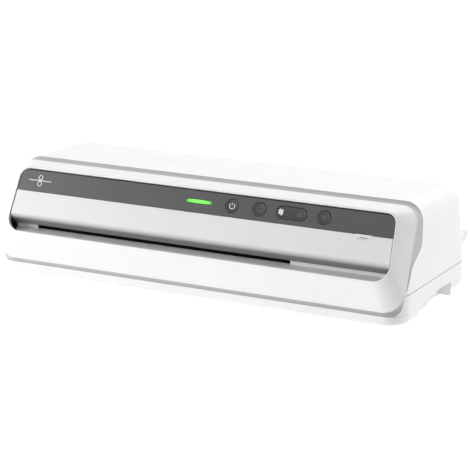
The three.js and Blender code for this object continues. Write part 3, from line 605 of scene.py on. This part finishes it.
def make_base_shell():
    upper = [(BODY["seam"] - SEAM_GAP / 2, edge_y(BODY["seam"]))] + [turned_edge(step) for step in range(11)]
    foot_heights = [9.4, 8.2, 6.8, 5.4, 4.1, 3, 2.1, 1.3, 0.75, BODY["bottom"]]
    shared = len(upper)
    lip = shared - 1
    outer = [ring(z, plan(z), y, True) for z, y in upper] + [ring(z, plan(z), None, True) for z in foot_heights]
    half = BODY["half"] - SKIRT["side"]
    skirt = (half, half - SKIRT["rear_taper"], BODY["rear"] - SKIRT["rear"], BODY["front"] + SKIRT["front"],
             SKIRT["rear_corner"], SKIRT["front_corner"])
    outer += [ring(z, skirt, None, True) for z in (BODY["bottom"], BODY["pan"])]
    wall = BODY["wall"]
    inner = [ring(z, plan(z, wall), y, True) for z, y in upper]
    inner.append(ring(BODY["floor"], plan(BODY["floor"], wall), None, True))
    cols = len(outer[0])

    def keep(row, col):
        return row >= lip or FRONT_STEPS <= col < cols - 1 - FRONT_STEPS

    shift = len(outer) * cols
    faces = grid_faces(len(outer), cols, 0, keep)
    ends = {i * cols for i in range(len(outer))} | {i * cols + cols - 1 for i in range(len(outer))}
    rims = [f for f in rim_faces(faces, cols, shared, shift) if not (f[0] in ends and f[1] in ends)]
    faces += rims + [f[::-1] for f in grid_faces(len(inner), cols, shift, keep)]
    last_outer = (len(outer) - 1) * cols
    last_inner = shift + (len(inner) - 1) * cols
    faces += [tuple(range(last_outer, last_outer + cols - 1)), tuple(range(last_inner, last_inner + cols - 1))]
    shell = mesh_object("base_housing_shell", np.vstack(outer + inner), faces)
    return bevel(shell, 0.5)


def grip_block(side, pocket, grow):
    """Solid of one step of the hand grip, grown to make the wall round it."""
    rear, top, radius = pocket["rear"] + grow, pocket["top"] + grow, pocket["radius"]
    outline = rounded([(rear, top, radius), (pocket["front"] - grow, top, radius),
                       (pocket["foot"] - grow, GRIP["below"], 1), (rear, GRIP["below"], 1)], 8)
    deepest = BODY["half"] - pocket["depth"] - grow
    outer = BODY["half"] + (-1.2 if grow else 5)
    return along_x("grip_block", outline, *sorted((side * deepest, side * outer)))


def make_base_housing():
    base = make_base_shell()
    steps = (GRIP["shallow"], GRIP["deep"])
    for side in (-1, 1):
        for pocket in steps:
            walls = grip_block(side, pocket, GRIP["wall"])
            room = block("room", *sorted((side * 200, side * BODY["half"])), -80, 60, pocket["from"], 40)
            boolean(walls, room, "INTERSECT")
            boolean(base, walls, "UNION")
        for pocket in steps:
            boolean(base, grip_block(side, pocket, 0))
    for place in (INLET, ROCKER):
        w, h = place["width"] / 2 + CLEAR, place["height"] / 2 + CLEAR
        boolean(base, block("hole", place["x"] - w, place["x"] + w, BODY["rear"] - REAR_HOLE, BODY["rear"] + 5,
                            place["z"] - h, place["z"] + h))
    return base


# ---------------------------------------------------------------- sloping front
def window_outline(outset, steps=16):
    top, bottom, height = WINDOW["top_half"] + outset, WINDOW["bottom_half"] + outset, WINDOW["height"]
    top_radius, bottom_radius = WINDOW["top_radius"] + outset, WINDOW["bottom_radius"] + outset
    return rounded([(top, outset, top_radius), (-top, outset, top_radius),
                    (-bottom, -height - outset, bottom_radius),
                    (bottom, -height - outset, bottom_radius)], steps)


def bezel_outline(inset, steps=16):
    top, bottom = BEZEL["top_half"] - inset, BEZEL["bottom_half"] - inset
    low = -WINDOW["height"] - BEZEL["below"] + inset
    top_radius, bottom_radius = BEZEL["top_radius"] - inset, BEZEL["bottom_radius"] - inset
    return rounded([(top, BEZEL["above"] - inset, top_radius), (-top, BEZEL["above"] - inset, top_radius),
                    (-bottom, low, bottom_radius), (bottom, low, bottom_radius)], steps)


def make_bezel():
    depth, rim = BEZEL["depth"], BEZEL["rim"]
    rings = [on_face(window_outline(0), -BEZEL["inner_depth"]), on_face(window_outline(0), -0.55)]
    for turn in (30, 60, 90):
        a = math.radians(turn)
        rings.append(on_face(window_outline(0.5 * (1 - math.cos(a))), -0.5 + 0.5 * math.sin(a)))
    rings.append(on_face(window_outline(rim * 0.75), 0))
    slope_start, slope_end = on_face(window_outline(rim), 0), on_face(bezel_outline(0), -depth)
    crown = on_face(window_outline(rim), 0.7) - on_face(window_outline(rim), 0)
    for t in (0.02, 0.1, 0.3, 0.5, 0.7, 0.9, 0.965):
        rings.append(lerp(slope_start, slope_end, t) + crown * 4 * t * (1 - t))
    for turn in (25, 55, 90):
        a = math.radians(turn)
        rings.append(on_face(bezel_outline(0.5 * (1 - math.cos(a))), -depth + 0.6 - 0.6 * math.sin(a)))
    wall, inner = BEZEL["wall"], BEZEL["inner_wall"]
    rings.append(on_face(bezel_outline(wall), -depth))
    inner_start, inner_end = on_face(bezel_outline(wall), -depth), on_face(window_outline(inner), -wall)
    for t in (0.08, 0.5, 0.93):
        rings.append(lerp(inner_start, inner_end, t))
    rings += [on_face(window_outline(inner), out) for out in (-wall - 0.4, -BEZEL["inner_depth"])]
    return loft("front_bezel_shell", rings, loop=True)


def on_rim(y, z, inset):
    """Place on the housing's skin at a height and depth, inset, round the front corner where it starts."""
    side, _, _, front, _, corner = plan(max(z, EDGE["turn"]), inset)
    over = min(max(front + corner - y, 0), corner)
    return side - corner + math.sqrt(corner ** 2 - over ** 2), max(y, front), z


def edge_loop(inset, steps=16, side_steps=34):
    """Front edge of the housing all the way round, inset, in the order of the bezel's outline."""
    shoulder, foot = BODY["top"] - BODY["side_edge"], 36.5
    turns = [step * math.pi / 2 / steps for step in range(steps + 1)]
    heights = [shoulder + (BODY["side_edge"] - inset) * math.cos(turn) for turn in turns]
    heights += [lerp(shoulder, foot, step / (side_steps + 1)) for step in range(1, side_steps + 1)]
    half = [on_rim(edge_y(z), z, inset) for z in heights]
    fine = 24
    end = fine * 2 / math.pi * math.acos(inset / (edge_y(EDGE["turn"]) - BODY["front"]))
    turned = [turned_edge(end * step / fine, fine) for step in range(fine + 1)]
    points = np.array([on_rim(edge_y(foot), foot, inset)] + [on_rim(y, z, inset) for z, y in turned])
    walked = np.concatenate([[0], np.cumsum(np.linalg.norm(np.diff(points, axis=0), axis=1))])
    for step in range(steps + 1):
        at = walked[-1] * step / steps
        half.append(tuple(np.interp(at, walked, points[:, axis]) for axis in range(3)))
    right = np.array(half)
    left = right[::-1] * (-1, 1, 1)
    return np.vstack([right[::-1], left[::-1]])


def bezel_loop(inset, out, steps=16, side_steps=34):
    """Back edge of the bezel with points that pair with those of edge_loop."""
    size = steps + 1
    corners = bezel_outline(inset, steps)
    top_right, low_right = corners[:size], corners[3 * size:]
    straight = [lerp(low_right[-1], top_right[0], step / (side_steps + 1)) for step in range(1, side_steps + 1)]
    right = np.vstack([low_right, straight, top_right])
    left = (right * (-1, 1))[::-1]
    return on_face(np.vstack([right, left]), out)


def make_band():
    """Cove between the bezel's back edge and the housing's front edge, lapped over the housing's rim."""
    back, lap, tongue = -BEZEL["depth"] - CLEAR, BODY["wall"] + 0.4, 4.5
    into = np.array([0, math.cos(LEAN), -math.sin(LEAN)])
    near, far = bezel_loop(1.0, back - 0.3), edge_loop(0.35) - into * 0.9
    hollow = np.linalg.norm(far - near, axis=1)[:, None] * into * 0.45
    rings = [bezel_loop(3.2, back), bezel_loop(1.4, back)]
    rings += [lerp(near, far, t) + hollow * t * (1 - t) for t in (0, 0.06, 0.15, 0.3, 0.5, 0.7, 0.85, 0.94, 1)]
    rings += [edge_loop(0.35) - into * 0.45, edge_loop(lap) - into * 0.45, edge_loop(lap) + into * tongue]
    inside, root = edge_loop(lap + 2) + into * tongue, bezel_loop(3.2, back - 2.2)
    rings += [inside, lerp(inside, root, 0.5) + hollow * 0.15, root]
    return loft("trim_band_shape", rings, loop=True)


def button_holes(grow):
    holes = [circle(x, BUTTON_V, BUTTON_RADIUS + grow) for x in ROUND_BUTTONS.values()]
    holes.append(pill(MODE_BUTTON["x"], BUTTON_V, MODE_BUTTON["length"], MODE_BUTTON["height"], -grow))
    holes.append(pill(LENS["x"], BUTTON_V, LENS["length"], LENS["height"], -grow))
    return holes


def tab_outline(grow):
    top, bottom = -PANEL["height"] + 0.1 + grow, -PANEL["height"] - TAB["height"] - grow
    x, low_half, high_half = TAB["x"], TAB["bottom"] / 2 + grow, TAB["top"] / 2 + grow
    return np.array([(x - low_half, bottom), (x + low_half, bottom),
                     (x + high_half, top), (x - high_half, top)])


def make_panel():
    outline = window_outline(-PANEL["side_gap"])
    upper = outline[outline[:, 1] > -PANEL["height"]]
    upper = np.column_stack([upper[:, 0], np.minimum(upper[:, 1], -PANEL["top_gap"])])
    share = PANEL["height"] / WINDOW["height"]
    half = lerp(WINDOW["top_half"], WINDOW["bottom_half"], share) - PANEL["side_gap"]
    corners = [(-half, -PANEL["height"]), (half, -PANEL["height"])]
    panel = plate("control_panel_plate", [np.vstack([upper, corners])] + button_holes(CLEAR), -PANEL["recess"],
                  PANEL["thickness"], 0.3)
    return boolean(panel, face_prism("notch", tab_outline(CLEAR), -10, 5))


def hood_profile():
    """Side view of the hood: flat, turned under, then back above the slot."""
    recess, deep = HOOD["recess"], HOOD["recess"] + HOOD["thickness"]
    rise, run = HOOD["tip_depth"] - recess - HOOD["bend"], HOOD["tip"] - HOOD["flat_end"]
    slant = math.atan2(rise, run) + math.asin(HOOD["bend"] / math.hypot(rise, run))

    def place(v, out):
        return tuple(on_face(np.array([[0.0, v]]), out)[0][1:])

    def bend(radius, depth):
        turns = np.linspace(0, slant, 13)
        return [place(-HOOD["flat_end"] - radius * math.sin(a), -depth - radius * (1 - math.cos(a)))
                for a in turns]

    upper = -PANEL["height"] - CLEAR
    tip_y, tip_z = place(-HOOD["tip"], -HOOD["tip_depth"])
    outer = [place(upper, -recess)] + bend(HOOD["bend"], recess)
    lip = [(tip_y - 0.1, tip_z + 0.45), (tip_y + 0.25, tip_z + 0.1), (tip_y + 0.8, tip_z)]
    ceiling = [(tip_y + 2, tip_z - 0.1), (HOOD["back"], tip_z + 1.2), (HOOD["back"], tip_z + 3.4),
               (tip_y + 4, tip_z + 2.4)]
    inner = bend(HOOD["bend"] - HOOD["thickness"], deep)[::-1] + [place(upper, -deep)]
    return outer + lip + ceiling + inner


def make_hood():
    profile = hood_profile()
    bottom_start = -WINDOW["height"] + WINDOW["bottom_radius"]
    radius = WINDOW["bottom_radius"] - HOOD["side_gap"]
    halves = []
    for y, z in profile:
        v, _ = to_face(y, z)
        half = lerp(WINDOW["top_half"], WINDOW["bottom_half"], -v / WINDOW["height"]) - HOOD["side_gap"]
        halves.append(half - round_over(radius, max(bottom_start - v, 0)))
    rings = [[(side * half, y, z) for half, (y, z) in zip(halves, profile)] for side in (-1, 1)]
    hood = bevel(loft("feed_hood_shape", rings), 0.45, 3, 40)
    return boolean(hood, face_prism("notch", tab_outline(CLEAR), -10, 5))


def stack(name, outline, layers):
    """A turned or obround knob: an outline function of inset, and (inset, out) for each layer."""
    return loft(name, [on_face(outline(inset), out) for inset, out in layers])


def dished(front, length, dish, edge=0.9):
    """Layers of a button with a rounded edge and a shallow dish."""
    layers = [(0.0, front - length), (0.0, front - edge)]
    layers += [(edge * (1 - math.cos(a)), front - edge + edge * math.sin(a))
               for a in np.linspace(0.25, math.pi / 2, 5)]
    layers += [(edge + 0.5, front - 0.06), (edge + 1.2, front - dish * 0.6), (edge + 2, front - dish)]
    layers.append((edge + 3.2, front - dish))
    return layers


DISH = 0.3
BUTTON_FRONT = -PANEL["recess"]
ICON_OUT = BUTTON_FRONT - DISH


def make_buttons():
    layers = dished(BUTTON_FRONT, BUTTON_LENGTH, DISH)
    for name, x in ROUND_BUTTONS.items():
        knob = stack(name + "_cap", lambda inset, x=x: circle(x, BUTTON_V, BUTTON_RADIUS - inset), layers)
        dress(knob, "button_grey", name, [name])
    m = MODE_BUTTON
    knob = stack("mode_button_cap",
                 lambda inset: pill(m["x"], BUTTON_V, m["length"], m["height"], inset), layers)
    dress(knob, "button_grey", "mode_button", ["mode_button"])


def make_lens():
    front = -PANEL["recess"] + LENS["proud"]
    layers = [(0, front - LENS["depth"]), (0, front - 0.5), (0.1, front - 0.2), (0.35, front - 0.04)]
    layers.append((0.8, front))
    lens = stack("status_lens_bar",
                 lambda inset: pill(LENS["x"], BUTTON_V, LENS["length"], LENS["height"], inset), layers)
    dress(lens, "green_lens", "root", ["status_lens"])


# ---------------------------------------------------------------- printed marks
PRINT = 0.05  # how far print stands off its surface


def stroke(points, width):
    """Outline of a line of even width through points, with square ends."""
    points = np.asarray(points, float)
    ahead = np.gradient(points, axis=0)
    ahead /= np.linalg.norm(ahead, axis=1)[:, None]
    aside = np.column_stack([-ahead[:, 1], ahead[:, 0]]) * width / 2
    return np.vstack([points + aside, (points - aside)[::-1]])


def arc(x, v, radius, start, end, steps=28):
    turns = np.radians(np.linspace(start, end, steps + 1))
    return np.column_stack([x + radius * np.cos(turns), v + radius * np.sin(turns)])


def band_faces(size):
    return [(i, i + 1, 2 * size - 2 - i, 2 * size - 1 - i) for i in range(size - 1)]


def printed(name, strokes, out, body, material, slot):
    """A mark of several strokes, standing just off the sloping face."""
    points, faces = [], []
    for outline in strokes:
        size = len(outline) // 2
        start = sum(len(p) for p in points)
        points += [on_face(outline, out - 0.02), on_face(outline, out + PRINT)]
        for layer in (0, 2 * size):
            faces += [tuple(start + layer + v for v in face) for face in band_faces(size)]
        around = 2 * size
        faces += [(start + i, start + (i + 1) % around, start + around + (i + 1) % around, start + around + i)
                  for i in range(around)]
    mark = mesh_object(name, np.vstack(points), faces)
    return dress(mark, slot, body, material=material)


def make_icons():
    power = ROUND_BUTTONS["power_button"]
    line = 0.75
    printed("power_icon", [stroke(arc(power, BUTTON_V - 0.3, 3.1, 125, 415), line),
                           stroke([(power, BUTTON_V + 0.4), (power, BUTTON_V + 3.7)], line)],
            ICON_OUT, "power_button", INK, "white_plastic")
    back = ROUND_BUTTONS["reverse_button"]
    printed("reverse_icon", [stroke(arc(back, BUTTON_V, 2.8, -150, 110), line),
                             stroke([(back - 2.6, BUTTON_V + 1.2), (back - 1.0, BUTTON_V + 2.6),
                                     (back + 0.6, BUTTON_V + 3.9)], line)],
            ICON_OUT, "reverse_button", FAINT_INK, "button_grey")
    auto = ROUND_BUTTONS["auto_button"]
    printed("auto_icon", [stroke([(auto - 3, BUTTON_V - 1.6), (auto + 3, BUTTON_V - 1.6)], line),
                          stroke([(auto - 3, BUTTON_V), (auto + 3, BUTTON_V)], line),
                          stroke([(auto - 3, BUTTON_V + 1.6), (auto + 3, BUTTON_V + 1.6)], line)],
            ICON_OUT, "auto_button", FAINT_INK, "button_grey")
    left = MODE_BUTTON["x"] - 13.2
    sheets = []
    for shift in (-1.5, 1.3):
        corners = np.array([(-1.0, -3.4), (1.6, -2.2), (1.9, 3.6), (-0.7, 2.4)])
        sheets.append(corners + (left + shift, BUTTON_V - shift * 0.3))
    printed("mode_icon", sheets, ICON_OUT, "mode_button", INK, "white_plastic")
    far = MODE_BUTTON["x"] + 10
    printed("mode_lines", [stroke([(far - 3.2, BUTTON_V + rise), (far + 3.2, BUTTON_V + rise)], line)
                           for rise in (-1.8, 0, 1.8)],
            ICON_OUT, "mode_button", FAINT_INK, "button_grey")


def make_pictogram():
    """Two rollers with a sheet between them, at the left end of the panel."""
    x, v, radius = -208, BUTTON_V + 0.2, 2.6
    strokes = [stroke(arc(x, v + rise, radius, 0, 360), 0.9) for rise in (-radius - 1, radius + 1)]
    strokes.append(stroke([(x - 15, v), (x + 15, v)], 0.9))
    printed("panel_pictogram", strokes, -PANEL["recess"], "root", INK, "white_plastic")


def flat_mark(name, x0, x1, y0, y1, z, material, slot):
    mark = block(name, x0, x1, y0, y1, z - 0.02, z + PRINT)
    return dress(mark, slot, material=material)


def make_marks():
    """Sheet guides printed on the feed shelf."""
    middle, top, ink = (SHELF["left"] + SHELF["right"]) / 2, SHELF["top"], (FAINT_INK, "button_grey")
    for index, x in enumerate((-200, -148, -106, 14, 56, 108)):
        flat_mark(f"shelf_mark_{index + 1}", x - 4, x + 4, -89.5, -88.9, top, *ink)
    flat_mark("shelf_centre_mark", middle - 11, middle - 7.4, -90.2, -89, top, *ink)


# ---------------------------------------------------------------- feed shelf, tab, tray
def make_tab():
    x, foot, front = TAB["x"], -PANEL["height"], -HOOD["recess"]
    tab = face_prism("release_tab_cap", tab_outline(0), front - TAB["thickness"], front)
    bevel(tab, 0.35)
    slit = face_prism("slit", box_outline(x - 4.6, x + 4.6, foot - 3.7, foot - 2.9), front - 1, 2)
    boolean(tab, slit)
    dress(tab, "hood_grey", "release_tab", ["release_tab"])
    # Dark sheet at the bottom of the shallow slit: painted shade, standing for the shadow inside the slit
    inside = box_outline(x - 4.55, x + 4.55, foot - 3.65, foot - 2.95)
    slit_shade = face_prism("release_tab_slit_shade", inside, front - 0.9, front - 0.75)
    dress(slit_shade, "black_plastic", "release_tab")


# ---------------------------------------------------------------- rear and underside
def make_rear_fittings():
    dress(refine("exit_tray", 0.8), "hood_grey", nodes=["exit_tray"])
    dress(refine("mains_inlet", 0.5), "black_plastic", nodes=["mains_inlet"])
    for index, (dx, dz) in enumerate(((-7, -2), (0, 2), (7, -2))):
        y0, y1 = BODY["rear"] - INLET["depth"] + 2.4, BODY["rear"] - 2.8
        x, z = INLET["x"] + dx, INLET["z"] + dz
        pin = block(f"inlet_pin_{index + 1}", x - 1.15, x + 1.15, y0, y1, z - 2.15, z + 2.15)
        dress(bevel(pin, 0.45), "steel")
    dress(refine("switch_frame", 0.4), "black_plastic", nodes=["switch_frame"])
    dress(refine("rocker_switch", 0.5), "black_plastic", "rocker_switch", ["rocker_switch"])


def make_feet():
    for row in ("front", "rear"):
        for side in ("left", "right"):
            node = f"foot_{row}_{side}"
            low, high = (np.array(corner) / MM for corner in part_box(node))
            x, y = (low[:2] + high[:2]) / 2
            radius = (high[0] - low[0]) / 2
            layers = [(radius, high[2]), (radius, 1.4), (radius - 0.4, 0.55), (radius - 1.2, 0.12),
                      (radius - 2.2, 0), (radius - 3.4, 0), (radius - 3.8, 0.5), (radius - 4.6, 0.6)]
            rings = [np.column_stack([circle(x, y, r), np.full(48, z)]) for r, z in layers]
            dress(loft(node + "_pad", rings), "rubber", nodes=[node])


def make_screws():
    """Countersunk cross-head screws in the floor pan, and the blank rating plate between them."""
    pan = BODY["pan"]
    places = [(x, y) for x in (-190, 0, 190) for y in (-70, 45)]
    for index, (x, y) in enumerate(places):
        layers = [(3.4, pan + 0.1), (3.4, pan - 0.5), (3.1, pan - 0.9), (2.2, pan - 1.15), (0.9, pan - 1.2)]
        rings = [np.column_stack([circle(x, y, r, 32), np.full(32, z)]) for r, z in layers]
        screw = loft(f"base_screw_{index + 1}", rings)
        for wide, deep in ((2.0, 0.45), (0.45, 2.0)):
            boolean(screw, block("cross", x - wide, x + wide, y - deep, y + deep, pan - 3, pan - 0.7))
        dress(screw, "steel")
    sheet = rounded([(40, 20, 2), (-40, 20, 2), (-40, -10, 2), (40, -10, 2)])
    faces = [np.column_stack([sheet, np.full(len(sheet), z)]) for z in (pan + 0.05, pan - 0.15)]
    dress(loft("rating_plate", faces), "hood_grey")


# ---------------------------------------------------------------- inside
def make_sleeves():
    """Roller coverings with a finer skin than their CAD solids."""
    for level in ("lower", "upper"):
        for station in ("infeed", "heated", "exit"):
            node = f"{level}_{station}_sleeve"
            low, high = (np.array(corner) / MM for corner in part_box(node))
            y, z = (low[1:] + high[1:]) / 2
            radius = (high[2] - low[2]) / 2
            bore, sides, edge = 3.3, 64, 0.5
            layers = [(bore, low[0]), (radius - edge, low[0]), (radius, low[0] + edge),
                      (radius, high[0] - edge), (radius - edge, high[0]), (bore, high[0])]
            rings = [np.column_stack([np.full(sides, x), circle(y, z, r, sides)]) for r, x in layers]
            slot = "silicone" if station == "heated" else "rubber"
            dress(loft(node + "_skin", rings, loop=True), slot, f"{level}_{station}_roller", [node])


def dress_cad_nodes():
    """Gives each CAD node that still shows the finish of its slot."""
    slots = {part["node"]: part["material_slot"] for part in frame["record"]["subparts"]}
    for name, obj in frame["nodes"].items():
        if obj.hide_render:
            continue
        obj.data.materials.clear()
        obj.data.materials.append(FINISHES[slots[name]])


# ---------------------------------------------------------------- build
dress(make_rear_housing(), "white_plastic", nodes=["rear_housing"])
dress(make_base_housing(), "white_plastic", nodes=["base_housing"])
dress(make_bezel(), "white_plastic", nodes=["front_bezel"], angle=50)
dress(make_band(), "grey_trim", nodes=["trim_band"], angle=50)
dress(make_panel(), "panel_grey", nodes=["control_panel"])
# the hood's material carries painted shade below its bend
dress(make_hood(), "hood_grey", nodes=["feed_hood"], material=HOOD_PAINTED_SHADE)
dress(refine("feed_shelf", 0.4), "hood_grey", nodes=["feed_shelf"])
make_buttons()
make_lens()
make_icons()
make_pictogram()
make_marks()
make_tab()
make_rear_fittings()
make_feet()
make_screws()
make_sleeves()
dress_cad_nodes()


# ---------------------------------------------------------------- studio
def make_floor():
    """Pale floor that glows evenly, as a light table does."""
    n = Nodes("studio_floor")
    tone = n.mix(n.spread(n.noise(160, 2), 0, 1), (0.1, 0.1, 0.1), (0.12, 0.12, 0.12))
    n.link(tone, n.shader.inputs["Base Color"])
    n.set(Roughness=0.9, Emission_Color=(1, 1, 1, 1), Emission_Strength=0.97)
    reach = 6000
    corners = [(-reach, -reach, 0), (reach, -reach, 0), (reach, reach, 0), (-reach, reach, 0)]
    floor = mesh_object("floor", corners, [(0, 1, 2, 3)])
    floor.data.materials.append(n.material)


def area_light(name, azimuth, elevation, distance, size, power):
    """Soft light aimed at the object's middle; azimuth 0 is in front and 90 at its right end."""
    a, e = math.radians(azimuth), math.radians(elevation)
    aim = Vector((0, 0, 0.06))
    away = Vector((math.sin(a) * math.cos(e), -math.cos(a) * math.cos(e), math.sin(e)))
    data = bpy.data.lights.new(name, "AREA")
    data.shape = "DISK"
    data.size = size
    data.energy = power
    light = bpy.data.objects.new(name, data)
    light.location = aim + away * distance
    light.rotation_euler = (-away).to_track_quat("-Z", "Y").to_euler()
    bpy.context.collection.objects.link(light)


def make_world(low, high, towards):
    """Studio walls: a soft grey room that brightens towards one azimuth."""
    world = bpy.data.worlds.new("studio")
    world.use_nodes = True
    tree = world.node_tree
    place = tree.nodes.new("ShaderNodeTexCoord")
    facing = tree.nodes.new("ShaderNodeVectorMath")
    facing.operation = "DOT_PRODUCT"
    angle = math.radians(towards)
    facing.inputs[1].default_value = (math.sin(angle), -math.cos(angle), 0)
    ramp = tree.nodes.new("ShaderNodeMapRange")
    ramp.interpolation_type = "SMOOTHSTEP"
    for key, value in (("From Min", -0.3), ("From Max", 0.75), ("To Min", low), ("To Max", high)):
        ramp.inputs[key].default_value = value
    background = tree.nodes["Background"]
    background.inputs["Color"].default_value = (1, 1, 1, 1)
    tree.links.new(place.outputs["Generated"], facing.inputs[0])
    tree.links.new(facing.outputs["Value"], ramp.inputs["Value"])
    tree.links.new(ramp.outputs["Result"], background.inputs["Strength"])
    bpy.context.scene.world = world


make_floor()
make_world(0.2, 1.05, 208)
area_light("left_light", -60, 12, 2.6, 1.6, 64)
area_light("front_light", 0, 25, 2.8, 1.2, 10)
area_light("right_light", 120, 25, 2.8, 2.0, 29)
area_light("rear_light", 165, 45, 2.8, 2.0, 38)
bpy.context.scene.view_settings.view_transform = "Standard"
